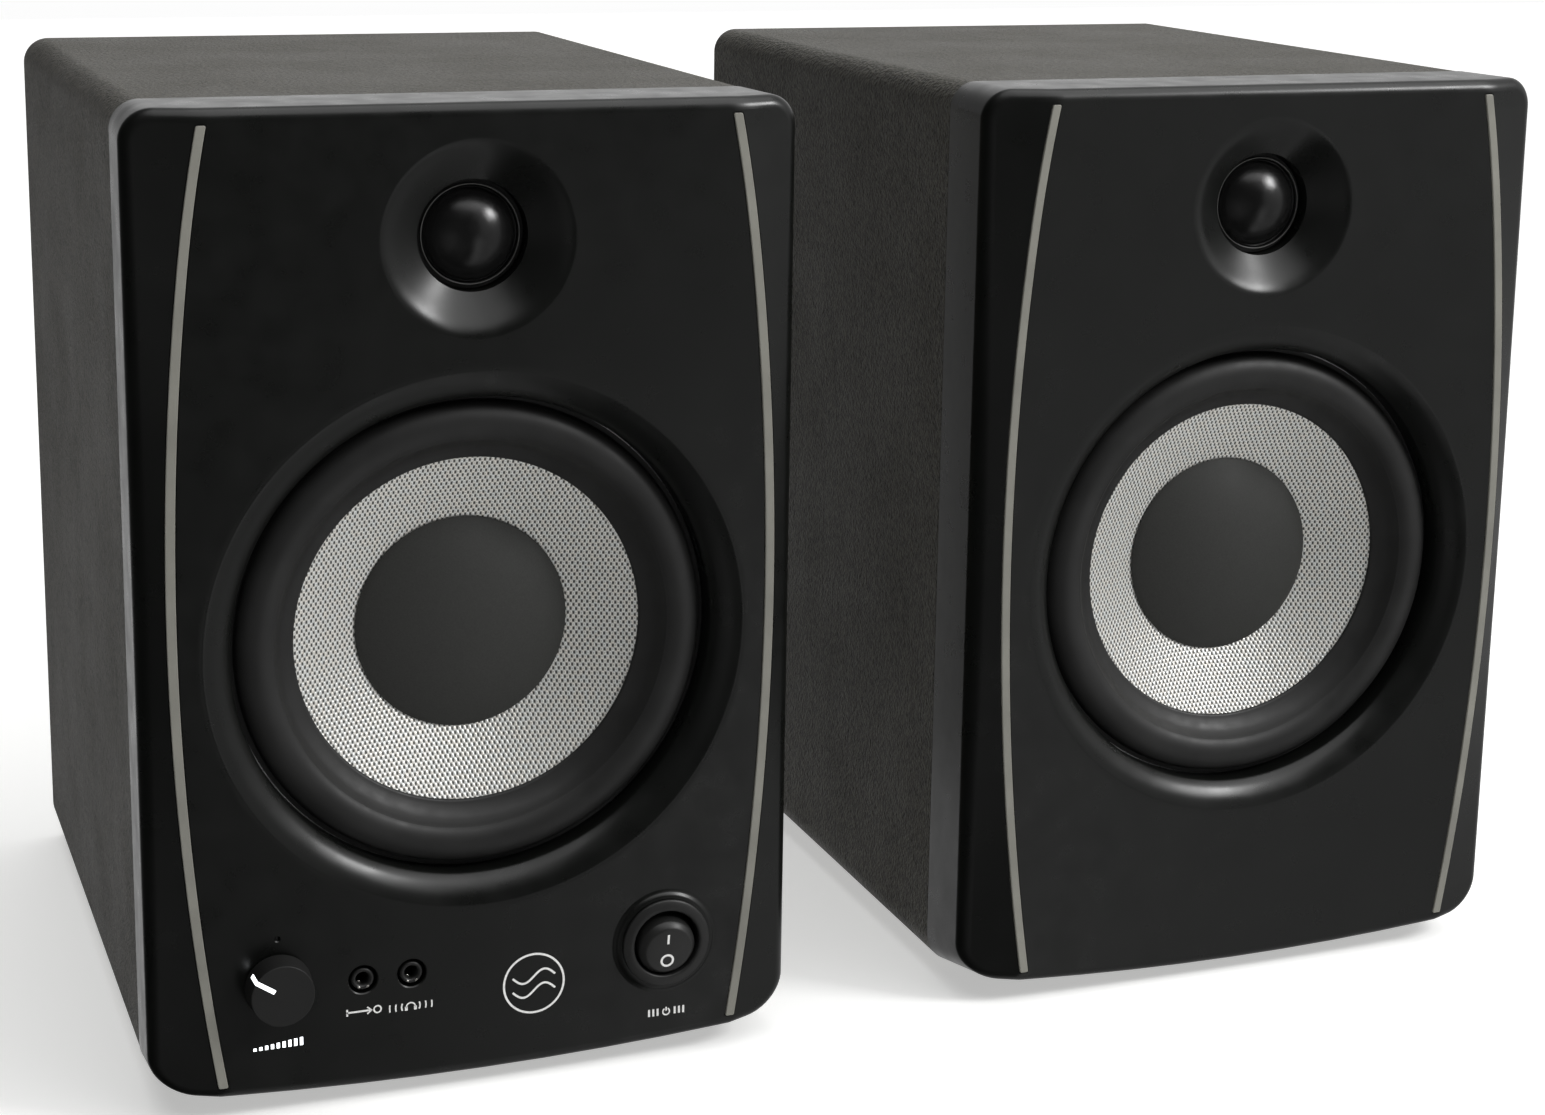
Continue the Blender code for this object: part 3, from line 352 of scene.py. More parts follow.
def pad_print():
    made = Nodes("pad_print", (0.75, 0.75, 0.74), 0.5)
    speckle = made.noise(1800.0, 4.0)
    made.link("Base Color", made.ramp(speckle, (0.25, (0.62, 0.62, 0.61)), (0.6, (0.82, 0.82, 0.81))))
    made.bump(speckle, 0.2, 0.02 * MM)
    return made.material


def circuit_board():
    made = Nodes("circuit_board", (0.02, 0.12, 0.05), 0.35)
    tracks = made.add("TexVoronoi", {"Vector": made.place()}, {"Scale": 160.0}, feature="DISTANCE_TO_EDGE")
    line = made.math("LESS_THAN", tracks.outputs["Distance"], 0.06)
    made.link("Base Color", made.ramp(line, (0.2, (0.016, 0.10, 0.04)), (0.8, (0.05, 0.24, 0.10))))
    made.bump(line, 0.3, 0.05 * MM)
    return made.material


def laminated_steel():
    """Transformer: stacked sheets with varnish."""
    made = Nodes("laminated_steel", (0.2, 0.19, 0.17), 0.5, 0.7)
    height = made.spread(made.ripple("Y", 0.5 * MM), 0.0, 1.0, -1.0, 1.0)
    made.link("Base Color", made.ramp(height, (0.2, (0.07, 0.06, 0.05)), (0.8, (0.24, 0.22, 0.19))))
    made.bump(height, 0.5, 0.1 * MM)
    return made.material


MATERIALS = {
    "vinyl": vinyl_wrap(),
    "panel": moulded("satin_moulding", (0.0042, 0.0046, 0.0041), 0.30, 2400.0, 0.015, 0.46),
    "trim": moulded("warm_grey_inlay", (0.2, 0.196, 0.172), 0.42, 1800.0, 0.015),
    "foot": moulded("foot_rubber", (0.012, 0.012, 0.012), 0.8, 900.0, 0.05, 0.3),
    "rubber": rolled_rubber(),
    "cone": woven_cone(),
    "cap": paper_cap(),
    "silk": coated_silk(),
    "spider": spider_cloth(),
    "copper": wound_copper(),
    "steel": brushed("zinc_plated_steel", (0.55, 0.55, 0.56)),
    "nickel": brushed("bright_nickel", (0.75, 0.73, 0.68), 0.18),
    "black_steel": brushed("black_screw_steel", (0.05, 0.05, 0.052), 0.32, 0.9),
    "ferrite": moulded("fired_ferrite", (0.045, 0.045, 0.047), 0.6, 700.0, 0.08),
    "plastic": moulded("black_plastic", (0.014, 0.014, 0.0138), 0.38, 1500.0, 0.03, 0.45),
    "rim": moulded("grey_rim", (0.075, 0.075, 0.073), 0.3, 2500.0, 0.01),
    "gloss": moulded("gloss_black_plastic", (0.010, 0.010, 0.010), 0.22, 2500.0, 0.01),
    "grained": moulded("grained_bezel", (0.014, 0.014, 0.0138), 0.42, 1100.0, 0.09, 0.45),
    "knob": moulded("knob_plastic", (0.011, 0.011, 0.0108), 0.5, 2200.0, 0.02, 0.4),
    "glow": lit_print(2.4),
    "print": pad_print(),
    "plate": moulded("powder_coat", (0.022, 0.022, 0.022), 0.55, 1000.0, 0.10),
    "board": circuit_board(),
    "core": laminated_steel(),
    "red": moulded("red_plastic", (0.42, 0.015, 0.012), 0.4, 1800.0, 0.02),
    "white": moulded("white_plastic", (0.72, 0.71, 0.68), 0.4, 1800.0, 0.02),
    "black": moulded("black_lever", (0.018, 0.018, 0.018), 0.4, 1800.0, 0.02),
}


# ---------------------------------------------------------------- mesh helpers

def linked(name, data):
    obj = bpy.data.objects.new(name, data)
    bpy.context.scene.collection.objects.link(obj)
    return obj


def make_object(name, bm, look, at, turn=None, sharp=32.0):
    """Turns a bmesh, drawn around `at` in the row frame, into an object."""
    bmesh.ops.remove_doubles(bm, verts=bm.verts, dist=1e-7)
    bmesh.ops.recalc_face_normals(bm, faces=bm.faces)
    mesh = bpy.data.meshes.new(name)
    bm.to_mesh(mesh)
    bm.free()
    mesh.shade_smooth()
    mesh.set_sharp_from_angle(angle=math.radians(sharp))
    mesh.materials.append(MATERIALS[look])
    obj = linked(name, mesh)
    obj.location = at
    if turn is not None:
        obj.rotation_euler = turn
    return obj


def make_cutter(bm, look, at, turn=None):
    """A hidden object for cut_with, in the material that the cut shows."""
    obj = make_object("cutter", bm, look, at, turn)
    obj.hide_render = True
    obj.hide_viewport = True
    return obj


def make_piece(name, bm, body, look, at, turn=None, replaces=(), sharp=32.0):
    """An object that rides on a body and may stand in for CAD nodes."""
    obj = make_object(name, bm, look, at, turn, sharp)
    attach(obj, body)
    if replaces:
        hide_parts(*replaces)
    return obj


def apply_modifiers(obj):
    """Freezes the modifiers into the mesh."""
    depsgraph = bpy.context.evaluated_depsgraph_get()
    mesh = bpy.data.meshes.new_from_object(obj.evaluated_get(depsgraph))
    obj.modifiers.clear()
    old = obj.data
    obj.data = mesh
    bpy.data.meshes.remove(old)


def cut_with(obj, cutters, operation="DIFFERENCE"):
    """Cuts a piece with meshes that share its frame, then removes them."""
    for cutter in cutters:
        modifier = obj.modifiers.new("cut", "BOOLEAN")
        modifier.operation = operation
        modifier.solver = "EXACT"
        modifier.object = cutter
    bpy.context.view_layer.update()
    apply_modifiers(obj)
    for cutter in cutters:
        bpy.data.objects.remove(cutter, do_unlink=True)


def soften(obj, width, segments=2, angle=35.0):
    """Rounds a piece's sharp edges by a hair and evens its normals."""
    bevel = obj.modifiers.new("soften", "BEVEL")
    bevel.width = width
    bevel.segments = segments
    bevel.limit_method = "ANGLE"
    bevel.angle_limit = math.radians(angle)
    bevel.harden_normals = False
    even = obj.modifiers.new("even", "WEIGHTED_NORMAL")
    even.keep_sharp = True
    apply_modifiers(obj)


def even_normals(obj):
    even = obj.modifiers.new("even", "WEIGHTED_NORMAL")
    even.keep_sharp = True
    even.weight = 60
    apply_modifiers(obj)


def turned(profile, steps):
    """A closed profile of (radius, depth) points, spun about the Y axis."""
    bm = bmesh.new()
    verts = [bm.verts.new((r, y, 0.0)) for r, y in profile]
    edges = []
    for first, after in zip(verts, verts[1:] + verts[:1]):
        if first.co.x > 1e-6 or after.co.x > 1e-6:
            edges.append(bm.edges.new((first, after)))
    bmesh.ops.spin(bm, geom=verts + edges, cent=(0, 0, 0), axis=(0, 1, 0), angle=2 * math.pi, steps=steps)
    bmesh.ops.remove_doubles(bm, verts=bm.verts, dist=1e-6)
    return bm


def prism(outline, front, back):
    bm = bmesh.new()
    near = [bm.verts.new((x, front, z)) for x, z in outline]
    bm.faces.new(near)
    far = bmesh.ops.extrude_face_region(bm, geom=bm.faces[:])
    moved = [v for v in far["geom"] if isinstance(v, bmesh.types.BMVert)]
    bmesh.ops.translate(bm, verts=moved, vec=(0.0, back - front, 0.0))
    return bm


def block(x0, x1, y0, y1, z0, z1):
    bm = bmesh.new()
    middle = Vector(((x0 + x1) / 2, (y0 + y1) / 2, (z0 + z1) / 2))
    size = Matrix.Diagonal((x1 - x0, y1 - y0, z1 - z0, 1.0))
    bmesh.ops.create_cube(bm, size=1.0, matrix=Matrix.Translation(middle) @ size)
    return bm


def arc(centre, radius, start, end, steps):
    points = []
    for i in range(steps + 1):
        a = math.radians(start + (end - start) * i / steps)
        points.append((centre[0] + radius * math.cos(a), centre[1] + radius * math.sin(a)))
    return points


def between(a, b, c, d, t):
    """One coordinate of a Catmull-Rom curve from b to c."""
    return 0.5 * (2 * b + (c - a) * t + (2 * a - 5 * b + 4 * c - d) * t * t + (3 * b - a - 3 * c + d) * t**3)


def smooth_path(points, steps=6):
    """A Catmull-Rom curve through (radius, depth) points."""
    ends = [points[0], *points, points[-1]]
    path = []
    for corners in zip(ends, ends[1:], ends[2:], ends[3:]):
        for i in range(steps):
            path.append(tuple(between(*coordinate, i / steps) for coordinate in zip(*corners)))
    path.append(points[-1])
    return path


def cap_arc(radius, rim_depth, rise, steps):
    sphere = (radius**2 + rise**2) / (2.0 * rise)
    centre = rim_depth - rise + sphere
    points = []
    for i in range(steps + 1):
        r = radius * (1.0 - i / steps)
        points.append((r, centre - math.sqrt(sphere**2 - r**2)))
    return points


# ---------------------------------------------------------------- outlines

def side_points(half, low, high, corner_low, corner_high, arc_steps, straight_steps):
    """The right-hand side of a rounded outline, bottom to top: (x, z, inward x, inward z)."""
    points = []
    for i in range(arc_steps + 1):
        a = math.radians(-90.0 + 90.0 * i / arc_steps)
        nx, nz = math.cos(a), math.sin(a)
        x = half - corner_low + corner_low * nx
        points.append((x, low + corner_low + corner_low * nz, -nx, -nz))
    run = high - corner_high - (low + corner_low)
    for i in range(1, straight_steps):
        points.append((half, low + corner_low + run * i / straight_steps, -1.0, 0.0))
    for i in range(arc_steps + 1):
        a = math.radians(90.0 * i / arc_steps)
        nx, nz = math.cos(a), math.sin(a)
        x = half - corner_high + corner_high * nx
        points.append((x, high - corner_high + corner_high * nz, -nx, -nz))
    return points


def rounded_outline(half, low, high, corner_low, corner_high, arc_steps=14):
    side = side_points(half, low, high, corner_low, corner_high, arc_steps, 1)
    right = [(x, z) for x, z, _, _ in side]
    return right + [(-x, z) for x, z in reversed(right)]


def rectangle(half, low, high):
    return [(-half, low), (half, low), (half, high), (-half, high)]


def ridge_x(z):
    """Half the distance between the two trim strips at a height."""
    hook = max(0.0, (z - STRIP_HOOK_START) / (STRIP_HIGH - STRIP_HOOK_START))
    sagitta = STRIP_RADIUS - math.sqrt(STRIP_RADIUS**2 - (z - STRIP_MID_Z) ** 2)
    return STRIP_MID_X - sagitta - STRIP_HOOK * hook**2


# ---------------------------------------------------------------- cabinet

def build_cabinet(side):
    low, high = local_box(f"{side}_cabinet_sleeve")
    outline = rounded_outline(high.x, low.z, high.z, CABINET_CORNER_LOW, CABINET_CORNER_HIGH)
    sleeve = make_piece(
        f"{side}_wrapped_sleeve", prism(outline, low.y, high.y), f"{side}_speaker",
        "vinyl", ORIGIN[side], replaces=[f"{side}_cabinet_sleeve"],
    )
    inside = rectangle(high.x - WALL, low.z + WALL, high.z - WALL)
    cut_with(sleeve, [make_cutter(prism(inside, low.y - WALL, high.y + WALL), "vinyl", ORIGIN[side])])
    soften(sleeve, 0.5 * MM, 3)


# ---------------------------------------------------------------- front panel

class Panel:
    """The front panel's shape in one speaker's frame."""

    def __init__(self, side):
        low, high = local_box(f"{side}_front_panel")
        sleeve_low, sleeve_high = local_box(f"{side}_cabinet_sleeve")
        proud = 0.2 * MM
        self.half = high.x
        self.back = high.y
        self.bottom = low.z + 1.4 * MM
        self.top = high.z
        steps = (14, 24)
        self.side = side_points(
            self.half, self.bottom, self.top, PANEL_CORNER_LOW, PANEL_CORNER_HIGH, *steps
        )
        self.seam_size = (sleeve_high.x + proud, sleeve_low.z + proud, sleeve_high.z + proud)
        self.seam = side_points(*self.seam_size, CABINET_CORNER_LOW, CABINET_CORNER_HIGH, *steps)

    def depth(self, x, z):
        start = ridge_x(z) + STRIP_HALF + GAP
        if abs(x) <= start:
            return 0.0
        return WING_FALL * (abs(x) - start) / (self.half - start)

    def bowed(self, x, z):
        fade = max(0.0, 1.0 - (z - self.bottom) / BOW_FADE)
        return z + BOTTOM_BOW * (x / (80.0 * MM)) ** 2 * fade

    def columns(self, half, z):
        ridge = ridge_x(z)
        inner, outer = ridge - STRIP_HALF - GAP, ridge + STRIP_HALF + GAP
        wing = [outer + (half - outer) * t for t in (0.0, 0.35, 0.7, 1.0)]
        middle = [inner * t for t in (0.0, 0.25, 0.5, 0.75, 1.0)]
        right = middle + wing
        return [-x for x in reversed(right[1:])] + right

    def mesh(self):
        bm = bmesh.new()
        rows, last = len(self.side), len(self.side) - 1
        count = len(self.columns(1.0, self.bottom))
        border = [(0, j) for j in range(count)]
        border += [(i, count - 1) for i in range(1, rows)]
        border += [(last, j) for j in range(count - 2, -1, -1)]
        border += [(i, 0) for i in range(rows - 2, 0, -1)]
        loops = [self.seam_loop(bm, border, count)]
        for step in range(9):
            a = math.radians(90.0 * step / 9)
            inset, depth = EDGE_ROUND * (1 - math.cos(a)), EDGE_ROUND * (1 - math.sin(a))
            loops.append([self.vertex(bm, *self.place(i, j, count, inset), depth) for i, j in border])
        grid = {}
        for i in range(rows):
            x, z, nx, nz = self.side[i]
            height = z + nz * EDGE_ROUND
            for j, column in enumerate(self.columns(x + nx * EDGE_ROUND, height)):
                grid[i, j] = self.vertex(bm, column, height, 0.0)
        loops.append([grid[place] for place in border])
        for outer, inner in zip(loops, loops[1:]):
            for k in range(len(border)):
                n = (k + 1) % len(border)
                bm.faces.new((outer[k], outer[n], inner[n], inner[k]))
        for i in range(rows - 1):
            for j in range(count - 1):
                bm.faces.new((grid[i, j], grid[i, j + 1], grid[i + 1, j + 1], grid[i + 1, j]))
        bm.faces.new(reversed(loops[0]))
        return bm

    def place(self, i, j, count, inset):
        x, z, nx, nz = self.side[i]
        if 0 < j < count - 1:
            return self.columns(x, z)[j], z + nz * inset
        sign = 1.0 if j else -1.0
        return sign * (x + nx * inset), z + nz * inset

    def vertex(self, bm, x, z, depth):
        return bm.verts.new((x, self.depth(x, z) + depth, self.bowed(x, z)))

    def seam_loop(self, bm, border, count):
        loop = []
        for i, j in border:
            share = self.place(i, j, count, 0.0)[0] / self.side[i][0]
            loop.append(bm.verts.new((share * self.seam[i][0], self.back, self.seam[i][1])))
        return loop


def end_spaced(low, high, corner, steps):
    """Heights along a strip, close together at its rounded corners."""
    ends = [corner * (1 - math.cos(math.radians(18.0 * i))) for i in range(6)]
    middle = [low + corner + (high - low - 2 * corner) * i / steps for i in range(1, steps)]
    return [low + e for e in ends] + middle + [high - e for e in reversed(ends)]


def band(half, low, high, corner, steps=64):
    """Outline of a bowed band with square, softly cornered ends, bulging towards +X."""
    outer, inner = [], []
    for z in end_spaced(low, high, corner, steps):
        end = min(z - low, high - z, corner)
        reach = half - corner + math.sqrt(max(0.0, corner**2 - (corner - end) ** 2))
        outer.append((ridge_x(z) + reach, z))
        inner.append((ridge_x(z) - reach, z))
    return outer + list(reversed(inner))


def build_trim(side):
    cutters = []
    for place, sign in (("left", -1.0), ("right", 1.0)):
        low, high = local_box(f"{side}_trim_strip_{place}")
        sunk = band(STRIP_HALF + GAP, STRIP_LOW - GAP, STRIP_HIGH + GAP, STRIP_CORNER + GAP)
        groove = [(sign * x, z) for x, z in sunk]
        cutters.append(make_cutter(prism(groove, -5 * MM, GROOVE_DEPTH), "panel", ORIGIN[side]))
        shape = [(sign * x, z) for x, z in band(STRIP_HALF, STRIP_LOW, STRIP_HIGH, STRIP_CORNER)]
        strip = make_piece(
            f"{side}_inlay_{place}", prism(shape, low.y, high.y), f"{side}_speaker", "trim",
            ORIGIN[side], replaces=[f"{side}_trim_strip_{place}"],
        )
        soften(strip, 0.22 * MM, 2, 60.0)
    return cutters


# The panel's curve into each driver's hole: (radius, depth), from the flat face inwards
WOOFER_MOUTH = [
    *mm((77.5, 0.0), (76.4, 0.02), (75.2, 0.14), (72.6, 1.0), (69.9, 2.8), (68.2, 4.7)),
    (WOOFER_HOLE, 5.6 * MM),
]
TWEETER_MOUTH = [
    *mm((27.3, 0.0), (26.6, 0.03), (25.6, 0.25), (24.3, 0.85), (22.6, 1.9), (19.2, 4.25)),
    (TWEETER_HOLE, 6.95 * MM),
]


def plain_hole(radius):
    front, back = -2.0 * MM, PANEL_THICK + 2.0 * MM
    return [(0.0, front), (radius, front), (radius, back), (0.0, back)]


def build_mouth(side, name, mouth, steps, middle):
    """The rounded mouth of the panel around a driver, turned as one clean ring."""
    rim = smooth_path(mouth, 5)
    edge = rim[0][0] + 0.08 * MM
    profile = [*rim, (mouth[-1][0], PANEL_THICK), (edge, PANEL_THICK), (edge, 0.3 * MM)]
    at = ORIGIN[side] + Vector((middle.x, 0.0, middle.z))
    make_piece(f"{side}_{name}", turned(profile, steps), f"{side}_speaker", "panel", at)


def round_hole(radius):
    """A cutter for a round hole with a hair of a chamfer at its mouth."""
    front, back, rim = -5.0 * MM, PANEL_THICK + 5.0 * MM, 0.3 * MM
    mouth = [(0.0, front), (radius + rim, front), (radius + rim, 0.0), (radius, rim)]
    return [*mouth, (radius, back), (0.0, back)]


def rocker_boss():
    """A low round swelling of the panel under the switch's bezel."""
    slope = mm((13.85, -1.0), (14.35, -0.68), (14.75, -0.34), (15.3, -0.1), (16.2, 0.12))
    rim = smooth_path([(13.2 * MM, -BOSS_RISE), *slope], 4)
    return [(11.0 * MM, 2.0 * MM), (11.0 * MM, -BOSS_RISE), *rim, (15.0 * MM, 2.0 * MM)]


def build_panel(side):
    shape = Panel(side)
    panel = make_piece(
        f"{side}_front_moulding", shape.mesh(), f"{side}_speaker", "panel",
        ORIGIN[side], replaces=[f"{side}_front_panel"],
    )
    rim = 6 * MM
    half, bottom, top = shape.seam_size[0] - rim, shape.bottom + rim, shape.top - rim
    inside = rounded_outline(half, bottom, top, rim, rim, 4)
    woofer = local_middle(f"{side}_woofer_cone")
    tweeter = local_middle(f"{side}_tweeter_dome")
    cutters = [
        make_cutter(prism(inside, PANEL_THICK, 60 * MM), "panel", ORIGIN[side]),
        hole_cutter(side, plain_hole(WOOFER_MOUTH[0][0]), 144, woofer),
        hole_cutter(side, plain_hole(TWEETER_MOUTH[0][0]), 96, tweeter),
    ]
    build_mouth(side, "woofer_mouth", WOOFER_MOUTH, 144, woofer)
    build_mouth(side, "tweeter_mouth", TWEETER_MOUTH, 96, tweeter)
    if side == "left":
        rocker = local_middle("left_switch_housing")
        cut_with(panel, [hole_cutter(side, rocker_boss(), 101, rocker)], "UNION")
        for node, radius in (
            ("left_volume_shaft", 3.6 * MM), ("left_indicator_lens", 0.6 * MM),
            ("left_aux_jack", JACK_HOLE), ("left_phones_jack", JACK_HOLE),
            ("left_switch_housing", ROCKER_HOLE),
        ):
            cutters.append(hole_cutter(side, round_hole(radius), 48, local_middle(node)))
    cutters += build_trim(side)
    cut_with(panel, cutters)
    panel.data.set_sharp_from_angle(angle=math.radians(24.0))
    even_normals(panel)


def hole_cutter(side, profile, steps, middle):
    at = ORIGIN[side] + Vector((middle.x, 0.0, middle.z))
    return make_cutter(turned(profile, steps), "panel", at)


# ---------------------------------------------------------------- woofer

def build_woofer(side):
    centre = front_point(f"{side}_woofer_cone")
    build_surround(side, centre)
    build_cone(side, centre)
    gasket = turned(mm((67.5, 11.2), (61.2, 11.9), (61.2, 12.2), (67.5, 12.2)), 96)
    make_piece(f"{side}_woofer_gasket", gasket, f"{side}_speaker", "rubber", centre)
    build_spider(side, centre)


def build_spider(side, centre):
    """Corrugated cloth ring behind the cone. Its inner rim lies clear of the cone's travel."""
    inner, outer, thick, steps = 16.7 * MM, 49.2 * MM, 0.4 * MM, 72
    front = []
    for i in range(steps + 1):
        r = inner + (outer - inner) * i / steps
        edge = max(0.0, 1.0 - (r - inner) / (4.2 * MM))
        inset = min(1.0, (r - inner) / (5.0 * MM), (outer - r) / (3.0 * MM))
        wave = 0.55 * MM * inset * math.sin(2.0 * math.pi * 5.0 * i / steps)
        front.append((r, 33.75 * MM + 1.35 * MM * edge**1.5 + wave))
    back = [(r, y + thick) for r, y in reversed(front)]
    make_piece(
        f"{side}_spider_cloth", turned(front + back, 96), f"{side}_speaker", "spider",
        centre, replaces=[f"{side}_spider"], sharp=50.0,
    )


def cone_front(r):
    return CONE_DEPTH - CONE_SLOPE * (r - CONE_INNER)


def half_roll(half, rise, start, end, steps):
    """Part of the surround's round section. It isn't quite a circle."""
    points = []
    for i in range(steps + 1):
        a = math.radians(start + (end - start) * i / steps)
        points.append((ROLL_RADIUS + half * math.cos(a), ROLL_DEPTH + rise * math.sin(a)))
    return points


def build_surround(side, centre):
    """Rubber half roll. It stays with the frame, and its inner lip lies on the cone at rest."""
    lip, skin = 49.2 * MM, 0.6 * MM
    glued = cone_front(lip) - GAP
    edge = [(lip, glued - 0.15 * MM), (lip + 0.12 * MM, glued - 0.5 * MM)]
    glued_lip = [(r, cone_front(r) - GAP - skin) for r in (lip + 0.5 * MM, 50.8 * MM)]
    valley = mm((52.2, 11.55), (53.5, 10.45), (54.6, 9.0))
    roll = half_roll(6.0 * MM, 5.3 * MM, 222.0, 352.0, 30)
    front = edge + smooth_path(glued_lip + valley + roll[:2], 5) + roll[2:]
    front += mm((66.15, 10.9), (66.6, 11.05), (67.3, 11.1))
    back = [(67.3 * MM, ROLL_DEPTH + skin), (65.6 * MM, ROLL_DEPTH + skin)]
    back += half_roll(5.4 * MM, 4.7 * MM, 345.0, 195.0, 24)
    back += [(54.2 * MM, 11.45 * MM), (lip, glued)]
    make_piece(
        f"{side}_rolled_surround", turned(front + back, 160), f"{side}_speaker", "rubber",
        centre, replaces=[f"{side}_woofer_surround"], sharp=50.0,
    )


def build_cone(side, centre):
    body = f"{side}_woofer_moving"
    outer, thick = 53.4 * MM, 0.8 * MM
    radii = [CONE_INNER + (outer - CONE_INNER) * i / 12 for i in range(13)]
    front = [(r, cone_front(r)) for r in radii]
    back = [(r, y + thick) for r, y in reversed(front)]
    cone = turned(front + back, 160)
    make_piece(f"{side}_woven_cone", cone, body, "cone", centre, replaces=[f"{side}_woofer_cone"])
    cap_r, rim, rise = 30.4 * MM, 22.4 * MM, 7.4 * MM
    outer_cap = cap_arc(cap_r - 0.25 * MM, rim - 0.25 * MM, rise - 0.25 * MM, 18)
    inner_cap = cap_arc(cap_r - 0.6 * MM, rim + 0.2 * MM, rise - 0.4 * MM, 12)
    edge = [(cap_r - 0.05 * MM, rim + 0.1 * MM), (cap_r, rim)]
    cap = turned([*edge, *outer_cap, *reversed(inner_cap)], 128)
    make_piece(
        f"{side}_coated_cap", cap, body, "cap", centre, replaces=[f"{side}_dust_cap"], sharp=45.0
    )


# ---------------------------------------------------------------- tweeter

def build_tweeter(side):
    centre = front_point(f"{side}_tweeter_dome")
    plate = PANEL_THICK + GAP
    ring = [
        (13.35 * MM, 10.5 * MM), *arc((13.62 * MM, 10.0 * MM), 0.27 * MM, 180.0, 360.0, 8),
        *mm((13.95, 10.6), (14.9, 10.9)), (14.9 * MM, plate), (24.0 * MM, plate),
        (24.0 * MM, plate + 2.0 * MM), (12.9 * MM, plate + 2.0 * MM), (12.9 * MM, plate + 0.6 * MM),
        (13.35 * MM, plate + 0.6 * MM),
    ]
    make_piece(
        f"{side}_tweeter_ring", turned(ring, 96), f"{side}_speaker", "plastic", centre,
        replaces=[f"{side}_tweeter_plate"],
    )
    rim = turned(arc((13.62 * MM, 9.72 * MM), 0.14 * MM, 0.0, 330.0, 11), 96)
    make_piece(f"{side}_tweeter_rim", rim, f"{side}_speaker", "rim", centre)
    dome_r, base, rise = 12.4 * MM, 10.4 * MM, 6.4 * MM
    outer = cap_arc(dome_r, base, rise, 20)
    inner = cap_arc(dome_r - 0.7 * MM, base + 0.4 * MM, rise - 0.2 * MM, 12)
    skirt = [
        (dome_r - 0.7 * MM, 17.0 * MM), (dome_r - 0.2 * MM, 17.0 * MM), (dome_r - 0.2 * MM, 11.5 * MM),
        *mm((13.3, 11.5), (13.3, 11.0), (12.95, 10.6), (12.7, 10.75)),
    ]
    make_piece(
        f"{side}_silk_dome", turned([*reversed(inner), *skirt, *outer], 96), f"{side}_tweeter_moving",
        "silk", centre, replaces=[f"{side}_tweeter_dome"], sharp=50.0,
    )


# ---------------------------------------------------------------- front controls

def build_knob():
    centre = front_point("left_volume_shaft")
    front = local_box("left_volume_knob")[0].y
    turn = (0.0, KNOB_ANGLE, 0.0)
    edge = 0.28 * MM
    profile = [
        (3.3 * MM, -0.6 * MM), (KNOB_BASE - 0.25 * MM, -0.6 * MM), (KNOB_BASE, -0.85 * MM),
        *arc((KNOB_FACE - edge, front + edge), edge, 0.0, -90.0, 6), (0.0, front + 0.06 * MM),
        (0.0, front + 2.0 * MM), (3.3 * MM, front + 2.0 * MM),
    ]
    knob = make_piece(
        "left_knob_body", turned(profile, 96), "volume_control", "knob", centre, turn,
        replaces=["left_volume_knob"],
    )
    half = POINTER_HALF + 0.1 * MM
    slots = (
        (2.5 * MM, KNOB_BASE + 2 * MM, front - 1 * MM, front + 0.9 * MM),
        (KNOB_FACE - 1.1 * MM, KNOB_BASE + 2 * MM, front - 1 * MM, -2.9 * MM),
    )
    blocks = [block(-half, half, y0, y1, z0, z1) for z0, z1, y0, y1 in slots]
    cut_with(knob, [make_cutter(bm, "knob", centre, turn) for bm in blocks])
    knob.data.set_sharp_from_angle(angle=math.radians(30.0))
    even_normals(knob)
    pointer = bpy.data.meshes.new("pointer")
    bm = bmesh.new()
    bm.from_mesh(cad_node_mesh("left_knob_pointer"))
    bm.to_mesh(pointer)
    bm.free()
    lit = linked("left_lit_pointer", pointer)
    pointer.materials.clear()
    pointer.materials.append(MATERIALS["glow"])
    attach(lit, "volume_control")
    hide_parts("left_knob_pointer")
    soften(lit, 0.12 * MM, 2)


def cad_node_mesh(node):
    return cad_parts[node].data


def build_jacks():
    body = "left_speaker"
    mouth = smooth_path(mm((1.8, 1.5), (1.95, 0.85), (2.35, 0.45), (2.8, 0.45), (3.12, 0.75), (3.25, 1.3)), 4)
    shoulder = [(3.25 * MM, PANEL_THICK + GAP), (6.0 * MM, PANEL_THICK + GAP)]
    profile = [*mouth, *shoulder, *mm((6.0, 26.0), (0.0, 26.0), (0.0, 17.0), (1.8, 17.0))]
    for node in ("left_aux_jack", "left_phones_jack"):
        at = front_point(node)
        neck = turned(profile, 64)
        make_piece(f"{node}_neck", neck, body, "plastic", at, replaces=[node])
        spring = block(-0.5 * MM, 0.5 * MM, 2.2 * MM, 9.0 * MM, -1.72 * MM, -1.35 * MM)
        turn = (0.0, math.radians(28.0), 0.0)
        contact = make_piece(f"{node}_contact", spring, body, "nickel", at, turn)
        soften(contact, 0.12 * MM, 2)
        # Painted glints: two small nickel pads on the lower part of each neck stand in for glints of light on
        # the socket's lower edge.
        for number, angle in enumerate((-26.0, 30.0)):
            glint_pad = block(-0.42 * MM, 0.42 * MM, 0.30 * MM, 0.75 * MM, -2.85 * MM, -2.35 * MM)
            turn = (0.0, math.radians(-angle), 0.0)
            glint_pad = make_piece(f"{node}_tip_{number}", glint_pad, body, "nickel", at, turn)
            soften(glint_pad, 0.1 * MM, 2)


